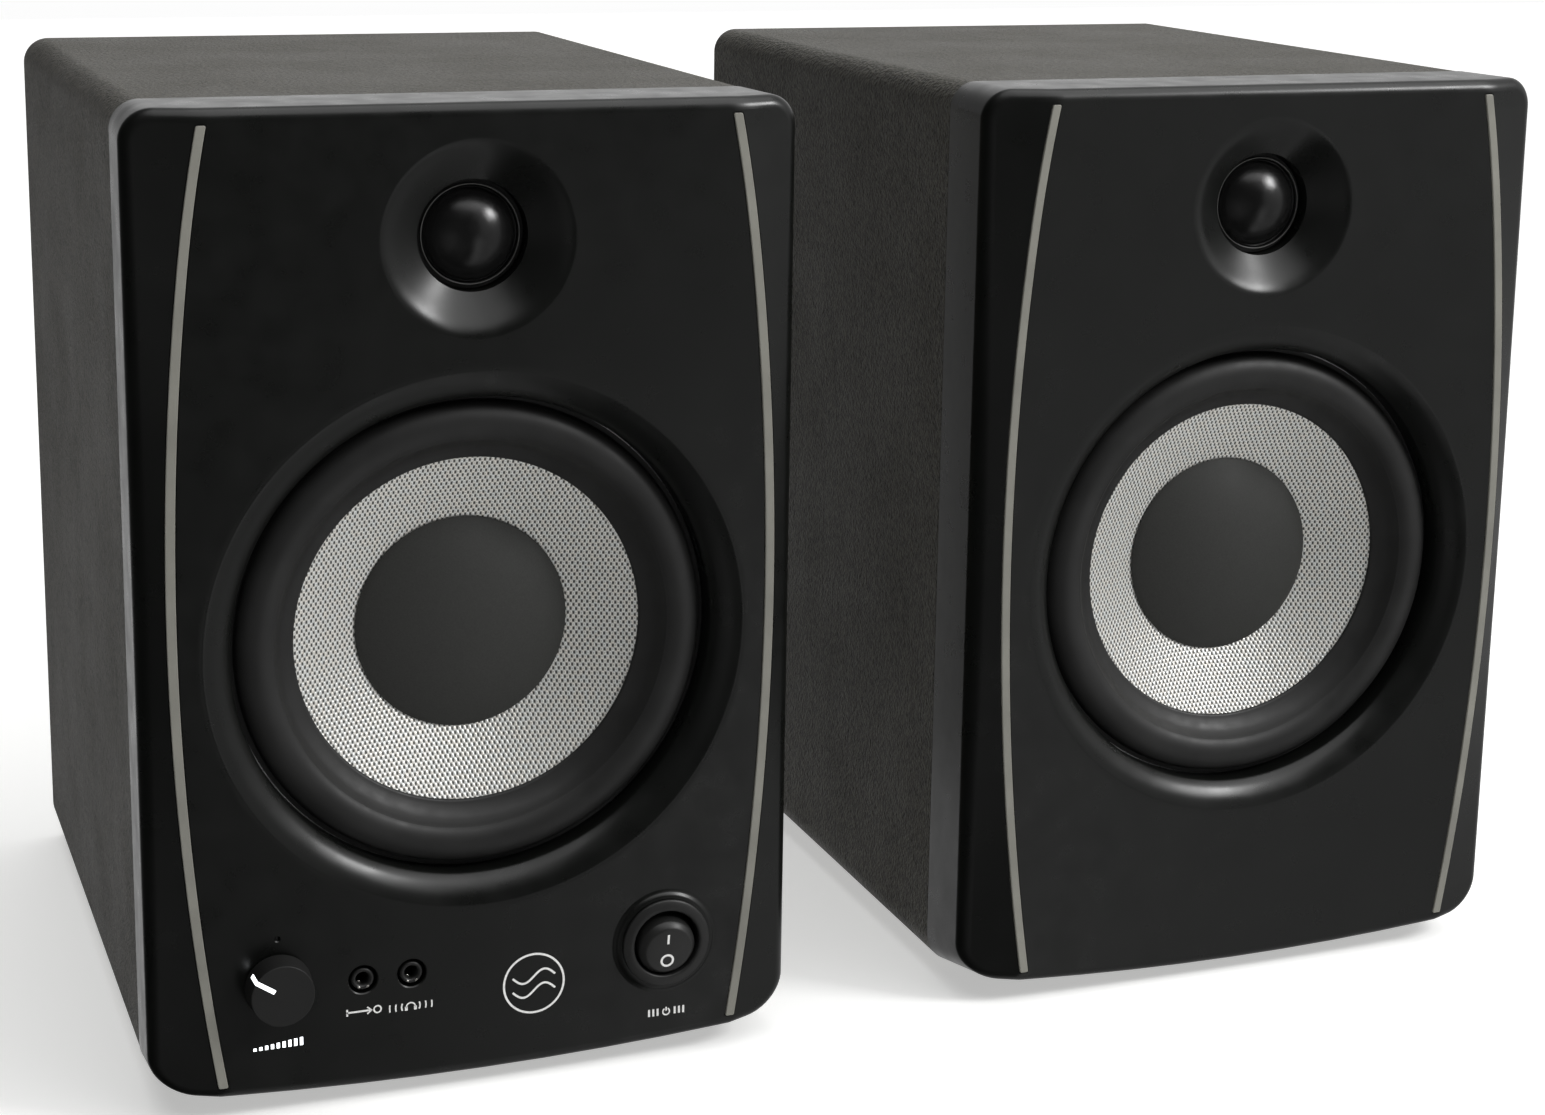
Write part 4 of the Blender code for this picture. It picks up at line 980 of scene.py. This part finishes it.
def build_rocker():
    centre = front_point("left_switch_housing")
    mouth, barrel, seat = 9.6 * MM, ROCKER_HOLE - GAP, -BOSS_RISE - GAP
    crown = mm((9.75, -2.3), (10.2, -2.66), (11.2, -2.62), (12.3, -2.3), (12.85, -1.95))
    bezel = smooth_path([(mouth, -1.6 * MM), *crown, (12.95 * MM, seat)], 4)
    cup = [(barrel, seat), (barrel, 15 * MM), (0.0, 15 * MM), (0.0, 13.6 * MM), (mouth, 13.6 * MM)]
    make_piece(
        "left_rocker_bezel", turned(bezel + cup, 96), "left_speaker", "grained", centre,
        replaces=["left_switch_housing"],
    )
    build_paddle(centre)


def build_paddle(centre):
    """The round rocker: a flat face with rolled shoulders. It leans, its lower half pressed in."""
    pivot = centre + Vector((0.0, ROCKER_PIVOT, 0.0))
    shoulder = smooth_path(
        [
            (6.3 * MM, ROCKER_FACE), (7.0 * MM, ROCKER_FACE + 0.22 * MM),
            (8.15 * MM, ROCKER_FACE + 1.55 * MM), (8.45 * MM, ROCKER_FACE + 2.7 * MM),
            *mm((8.8, -3.6), (9.1, -1.0)),
        ],
        5,
    )
    profile = [(0.0, ROCKER_FACE), *shoulder, *mm((9.1, 0.5), (6.0, 3.0), (0.0, 3.0))]
    lean = (ROCKER_TILT, 0.0, 0.0)
    make_piece(
        "left_rocker_paddle", turned(profile, 96), "power_rocker", "plastic", pivot,
        lean, replaces=["left_power_rocker"],
    )
    for name, bm, height in (("line", line_mark(), 3.6 * MM), ("circle", ring_mark(), -3.25 * MM)):
        at = pivot + Matrix.Rotation(ROCKER_TILT, 3, "X") @ Vector((-0.3 * MM, ROCKER_FACE, height))
        make_piece(f"left_{name}_mark", bm, "power_rocker", "print", at, lean)


def line_mark():
    return block(-0.32 * MM, 0.32 * MM, -0.07 * MM, 0.12 * MM, -1.5 * MM, 1.5 * MM)


def ring_mark():
    return turned(mm((1.38, -0.07), (2.03, -0.07), (2.03, 0.12), (1.38, 0.12)), 64)


# ---------------------------------------------------------------- printed signs

def stroke(points, width, closed=False):
    """A flat printed line of even width through (x, z) points, a hair proud of the face."""
    bm = bmesh.new()
    rows = []
    count = len(points)
    below, above = 0.02 * MM, -0.06 * MM
    for i, point in enumerate(points):
        before = points[i - 1] if i or closed else points[0]
        after = points[(i + 1) % count] if i < count - 1 or closed else points[-1]
        along = Vector((after[0] - before[0], after[1] - before[1]))
        along.normalize()
        out = Vector((-along.y, along.x)) * width / 2.0
        corners = ((1, below), (1, above), (-1, above), (-1, below))
        rows.append([bm.verts.new((point[0] + s * out.x, y, point[1] + s * out.y)) for s, y in corners])
    pairs = list(zip(rows, rows[1:]))
    if closed:
        pairs.append((rows[-1], rows[0]))
    for first, after in pairs:
        for k in range(4):
            n = (k + 1) % 4
            bm.faces.new((first[k], first[n], after[n], after[k]))
    if not closed:
        bm.faces.new(rows[0])
        bm.faces.new(list(reversed(rows[-1])))
    return bm


def joined(*meshes):
    """Several bmeshes as one."""
    whole = bmesh.new()
    for bm in meshes:
        part = bpy.data.meshes.new("part")
        bm.to_mesh(part)
        bm.free()
        whole.from_mesh(part)
        bpy.data.meshes.remove(part)
    return whole


def ring_points(cx, cz, radius, start=0.0, end=360.0, steps=48):
    points = arc((cx, cz), radius, start, end, steps)
    return points[:-1] if end - start >= 360.0 else points


def emblem_sign():
    ring = stroke(ring_points(0.0, 0.0, 8.75 * MM, steps=96), 0.6 * MM, True)
    waves = []
    for offset in (2.1, -2.1):
        wave = []
        for i in range(41):
            x = -6.2 + 12.4 * i / 40
            wave.append((x, offset + 1.9 * math.sin(2 * math.pi * x / 12.4)))
        waves.append(stroke(mm(*wave), 0.6 * MM))
    return joined(ring, *waves)


def headphone_sign():
    """Band over two ear pads, with sound arcs on both sides."""
    parts = [stroke(mm(*ring_points(0.0, -0.25, 1.3, 0.0, 180.0, 24)), 0.4 * MM)]
    for side in (-1.0, 1.0):
        parts.append(stroke(mm((side * 1.3, -1.15), (side * 1.3, 0.0)), 0.8 * MM))
        for radius in (2.6, 4.3, 6.0):
            reach = math.degrees(math.asin(1.05 / radius))
            middle = 0.0 if side > 0 else 180.0
            arcs = ring_points(0.0, 0.0, radius, middle - reach, middle + reach, 12)
            parts.append(stroke(mm(*arcs), 0.42 * MM))
    return joined(*parts)


def input_sign():
    """A long arrow into a socket."""
    socket = stroke(mm(*ring_points(3.8, 0.0, 1.0)), 0.42 * MM, True)
    shaft = stroke(mm((-4.9, 0.0), (2.0, 0.0)), 0.5 * MM)
    barbs = stroke(mm((0.9, 1.0), (2.2, 0.0), (0.9, -1.0)), 0.45 * MM)
    tail = stroke(mm((-4.7, -1.0), (-4.7, 1.0)), 0.5 * MM)
    return joined(socket, shaft, barbs, tail)


def power_sign():
    """The power symbol between short bars."""
    ring = stroke(mm(*ring_points(0.0, -0.1, 1.0, 120.0, 420.0, 36)), 0.42 * MM)
    bar = stroke(mm((0.0, 0.1), (0.0, 1.3)), 0.45 * MM)
    bars = [stroke(mm((x, -1.1), (x, 1.1)), 0.6 * MM) for x in (-5.2, -3.9, -2.6, 2.6, 3.9, 5.2)]
    return joined(ring, bar, *bars)


def volume_sign():
    """Nine bars that grow from left to right."""
    bars = []
    for i in range(9):
        x = -6.4 + 1.6 * i
        bars.append(stroke(mm((x, -1.15), (x, -0.35 + 0.19 * i)), 0.85 * MM))
    return joined(*bars)


def build_signs():
    origin = ORIGIN["left"]
    knob, aux = local_middle("left_volume_shaft"), local_middle("left_aux_jack")
    phones, rocker = local_middle("left_phones_jack"), local_middle("left_switch_housing")
    signs = (
        ("emblem", emblem_sign(), 14.4 * MM, aux.z - 7.9 * MM, "print"),
        ("input_sign", input_sign(), aux.x + 0.1 * MM, aux.z - 9.2 * MM, "print"),
        ("headphone_sign", headphone_sign(), phones.x - 0.4 * MM, phones.z - 9.7 * MM, "print"),
        ("power_sign", power_sign(), rocker.x + 0.7 * MM, rocker.z - 21.8 * MM, "print"),
        ("volume_sign", volume_sign(), knob.x - 0.2 * MM, knob.z - 17.2 * MM, "glow"),
    )
    for name, bm, x, z, look in signs:
        at = origin + Vector((x, 0.0, z))
        make_piece(f"left_{name}", bm, "left_speaker", look, at)


# ---------------------------------------------------------------- backs

def refine(node, body, look, width=0.4 * MM):
    """A CAD solid with its edges rounded by a hair."""
    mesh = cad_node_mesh(node).copy()
    mesh.materials.clear()
    mesh.materials.append(MATERIALS[look])
    obj = linked(f"{node}_fine", mesh)
    bm = bmesh.new()
    bm.from_mesh(mesh)
    bmesh.ops.remove_doubles(bm, verts=bm.verts, dist=1e-6)
    bmesh.ops.dissolve_limit(bm, angle_limit=math.radians(1.0), verts=bm.verts, edges=bm.edges)
    bm.to_mesh(mesh)
    bm.free()
    mesh.shade_smooth()
    mesh.set_sharp_from_angle(angle=math.radians(32.0))
    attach(obj, body)
    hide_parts(node)
    soften(obj, width, 2)
    return obj


def build_port(side):
    low, high = local_box(f"{side}_port_tube")
    centre = front_point(f"{side}_port_tube")
    seat = high.y - 2.2 * MM
    mouth = smooth_path(
        [
            (18.0 * MM, seat - 14 * MM), (18.6 * MM, seat - 8 * MM), (20.6 * MM, seat - 2.6 * MM),
            (24.0 * MM, seat + 1.2 * MM), (27.0 * MM, seat + 2.2 * MM), (30.0 * MM, seat + 1.9 * MM),
            (31.5 * MM, seat + 0.7 * MM), (31.5 * MM, seat),
        ],
        5,
    )
    profile = [(18.0 * MM, low.y), *mouth, (27.4 * MM, seat), (20 * MM, seat - 14 * MM), (20 * MM, low.y)]
    make_piece(
        f"{side}_flared_port", turned(profile, 96), f"{side}_speaker", "plastic", centre,
        replaces=[f"{side}_port_tube"],
    )


def build_screws(name, node, inset, rows):
    """Cross-head screws down both sides of a plate, standing on its back."""
    low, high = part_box(node)
    xs = (low.x + inset, high.x - inset)
    zs = [low.z + inset + (high.z - low.z - 2 * inset) * i / (rows - 1) for i in range(rows)]
    body, radius = name.split("_")[0] + "_speaker", 3.2 * MM
    shares = ((0.0, 0.55), (0.45, 0.52), (0.8, 0.36), (1.0, 0.0), (0.0, 0.0))
    head = [(radius * across, radius * up) for across, up in shares]
    for number, (x, z) in enumerate([(x, z) for x in xs for z in zs]):
        at = Vector((x, high.y, z))
        screw = make_piece(f"{name}_{number}", turned(head, 28), body, "black_steel", at)
        angle = 0.4 + 1.3 * number
        cutters = []
        for extra in (0.0, math.pi / 2):
            arm = block(-1.7 * MM, 1.7 * MM, 0.6 * MM, 3 * MM, -0.3 * MM, 0.3 * MM)
            cutters.append(make_cutter(arm, "steel", at, (0.0, angle + extra, 0.0)))
        cut_with(screw, cutters)


def build_back(side):
    body = f"{side}_speaker"
    refine(f"{side}_back_board", body, "vinyl", 0.5 * MM)
    refine(f"{side}_terminal_housing", body, "plastic", 0.35 * MM)
    for place in ("front", "rear"):
        refine(f"{side}_{place}_foot_strip", body, "foot", 0.7 * MM)
    for colour in ("red", "black"):
        refine(f"{side}_clip_lever_{colour}", f"{side}_{colour}_clip", colour, 0.4 * MM)
    build_port(side)
    build_screws(f"{side}_board_screw", f"{side}_back_board", 6.5 * MM, 4)


def build_amplifier():
    body = "left_speaker"
    refine("left_amplifier_plate", body, "plate", 0.4 * MM)
    refine("left_mains_inlet", body, "gloss", 0.35 * MM)
    build_screws("left_plate_screw", "left_amplifier_plate", 4.5 * MM, 3)
    refine("left_line_input_sockets", body, "plastic", 0.3 * MM)
    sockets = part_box("left_line_input_sockets")
    middle = node_middle("left_line_input_sockets")
    for name, offset, look in (("white", -8.0 * MM, "white"), ("red", 8.0 * MM, "red")):
        at = Vector((middle.x + offset, sockets[1].y, middle.z))
        ring = turned(mm((4.3, -6.0), (6.2, -6.0), (6.2, -4.6), (4.3, -4.2)), 48)
        make_piece(f"left_{name}_input_ring", ring, body, look, at)
        sleeve = turned(mm((4.15, -4.0), (4.35, -4.0), (4.35, -0.1), (4.15, -0.1)), 48)
        make_piece(f"left_{name}_input_sleeve", sleeve, body, "nickel", at)


def paint_inner_nodes():
    """CAD solids that stay as they are get their materials."""
    looks = {
        "woofer_frame": "steel", "voice_coil": "copper", "woofer_magnet": "ferrite",
        "woofer_yoke": "steel", "tweeter_magnet": "ferrite", "volume_shaft": "steel",
        "volume_potentiometer": "steel", "indicator_lens": "gloss", "amplifier_board": "board",
        "transformer": "core", "crossover_capacitor": "gloss",
    }
    for name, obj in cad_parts.items():
        for key, look in looks.items():
            if name.endswith(key):
                obj.data.materials.clear()
                obj.data.materials.append(MATERIALS[look])


# ---------------------------------------------------------------- stage

def build_floor():
    bm = bmesh.new()
    bmesh.ops.create_grid(bm, x_segments=2, y_segments=2, size=4.0)
    mesh = bpy.data.meshes.new("floor")
    bm.to_mesh(mesh)
    bm.free()
    made = Nodes("pale_floor", (0.8, 0.8, 0.79), 0.75, specular=0.2, Emission_Color=(1.0, 1.0, 0.99, 1.0))
    made.set("Emission Strength", 0.46)
    made.link("Base Color", made.ramp(made.noise(3.0), (0.3, (0.84, 0.84, 0.83)), (0.7, (0.87, 0.87, 0.86))))
    mesh.materials.append(made.material)
    floor = linked("floor", mesh)
    floor.visible_glossy = False


def add_lamp(name, kind, power):
    lamp = bpy.data.lights.new(name, kind)
    lamp.energy = power
    return linked(name, lamp)


# Soft glows of the room round the speakers: direction, tightness, strength
GLOWS = (
    ((0.35, 0.93, 0.15), 5.0, 0.60),
    ((-0.12, 0.93, -0.35), 20.0, 0.55),
    ((0.55, -0.38, 0.74), 14.0, 0.50),
    ((0.85, -0.28, 0.43), 12.0, 0.35),
    ((-0.4, -0.6, 0.7), 5.0, 0.05),
    ((-0.58, -0.76, -0.29), 14.0, 0.22),
)


class World:
    """The room's light: white to the camera, and a few soft glows for everything else."""

    def __init__(self):
        self.world = bpy.data.worlds.new("studio")
        self.world.use_nodes = True
        self.tree = self.world.node_tree
        self.direction = self.tree.nodes.new("ShaderNodeTexCoord").outputs["Generated"]

    def math(self, operation, *inputs):
        node = self.tree.nodes.new("ShaderNodeMath")
        node.operation = operation
        for index, value in enumerate(inputs):
            if isinstance(value, (int, float)):
                node.inputs[index].default_value = value
            else:
                self.tree.links.new(value, node.inputs[index])
        return node.outputs[0]

    def step(self, value, start, end, low=0.0, high=1.0):
        """Eases from low to high as the value goes from start to end."""
        node = self.tree.nodes.new("ShaderNodeMapRange")
        node.interpolation_type = "SMOOTHSTEP"
        self.tree.links.new(value, node.inputs["Value"])
        for socket, number in (("From Min", start), ("From Max", end), ("To Min", low), ("To Max", high)):
            node.inputs[socket].default_value = number
        return node.outputs["Result"]

    def scaled(self, value, name, strength, total):
        glow = self.math("MULTIPLY_ADD", value, strength, 0.0 if total is None else total)
        glow.node.name = name
        return glow

    def lobe(self, aim, tightness):
        node = self.tree.nodes.new("ShaderNodeVectorMath")
        node.operation = "DOT_PRODUCT"
        node.inputs[1].default_value = Vector(aim).normalized()
        self.tree.links.new(self.direction, node.inputs[0])
        return self.math("EXPONENT", self.math("MULTIPLY_ADD", node.outputs["Value"], tightness, -tightness))

    def low_front(self):
        """The bright table in front, seen low down: dark on the left, brightest a little to the right."""
        node = self.tree.nodes.new("ShaderNodeSeparateXYZ")
        self.tree.links.new(self.direction, node.inputs[0])
        x, y, z = node.outputs
        forward = self.math("MAXIMUM", self.math("MULTIPLY", y, -1.0), 0.02)
        aside = self.math("DIVIDE", x, forward)
        band = self.math("MULTIPLY", self.step(aside, 0.22, 0.42), self.step(aside, 0.40, 0.58, 1.0, 0.30))
        below = self.step(z, -0.08, -0.30)
        far_right = self.step(aside, 0.42, 0.56)
        return self.math("MULTIPLY", band, self.math("MAXIMUM", below, far_right))

    def finish(self, total, seen):
        path = self.tree.nodes.new("ShaderNodeLightPath")
        mix = self.tree.nodes.new("ShaderNodeMix")
        mix.inputs[3].default_value = seen
        self.tree.links.new(path.outputs["Is Camera Ray"], mix.inputs[0])
        self.tree.links.new(total, mix.inputs[2])
        background = self.tree.nodes["Background"]
        self.tree.links.new(mix.outputs[0], background.inputs["Strength"])
        background.inputs["Color"].default_value = (1.0, 1.0, 1.0, 1.0)
        bpy.context.scene.world = self.world


def build_lights():
    world = World()
    total = None
    for number, (aim, tightness, strength) in enumerate(GLOWS):
        total = world.scaled(world.lobe(aim, tightness), f"glow_{number}", strength, total)
    total = world.scaled(world.low_front(), f"glow_{len(GLOWS)}", 1.1, total)
    world.finish(total, 0.98)
    key = add_lamp("key", "AREA", 10.0)
    key.data.shape = "RECTANGLE"
    key.data.size = key.data.size_y = 0.38
    key.location = (1.0, -0.78, 0.98)
    towards = Vector((0.1, 0.0, 0.15)) - key.location
    key.rotation_euler = towards.to_track_quat("-Z", "Y").to_euler()
    overhead = add_lamp("overhead", "SUN", 1.5)
    overhead.data.angle = math.radians(70.0)
    overhead.rotation_euler = (math.radians(8.0), math.radians(8.0), 0.0)
    bpy.context.scene.view_settings.view_transform = "Standard"


def build_camera():
    """The photograph's view: from the front left, a little above, with a long lens."""
    yaw, pitch, roll = math.radians(20.964), math.radians(-11.760), math.radians(0.881)
    forward = Vector((math.sin(yaw) * math.cos(pitch), math.cos(yaw) * math.cos(pitch), math.sin(pitch)))
    level = Vector((math.cos(yaw), -math.sin(yaw), 0.0))
    upright = level.cross(forward)
    right = level * math.cos(roll) + upright * math.sin(roll)
    up = upright * math.cos(roll) - level * math.sin(roll)
    camera = bpy.data.cameras.new("camera")
    camera.sensor_width = 36.0
    camera.lens = 64.72
    camera.shift_x = 0.0007
    camera.shift_y = -0.1052
    obj = linked("camera", camera)
    place = ORIGIN["left"] + Vector((-188.03, -708.74, 352.33)) * MM
    basis = Matrix((right, up, -forward)).transposed().to_4x4()
    obj.matrix_world = Matrix.Translation(place) @ basis
    bpy.context.scene.camera = obj


def main():
    for side in SIDES:
        build_cabinet(side)
        build_panel(side)
        build_woofer(side)
        build_tweeter(side)
        build_back(side)
    build_knob()
    build_jacks()
    build_rocker()
    build_signs()
    build_amplifier()
    paint_inner_nodes()
    build_floor()
    build_lights()
    build_camera()


main()
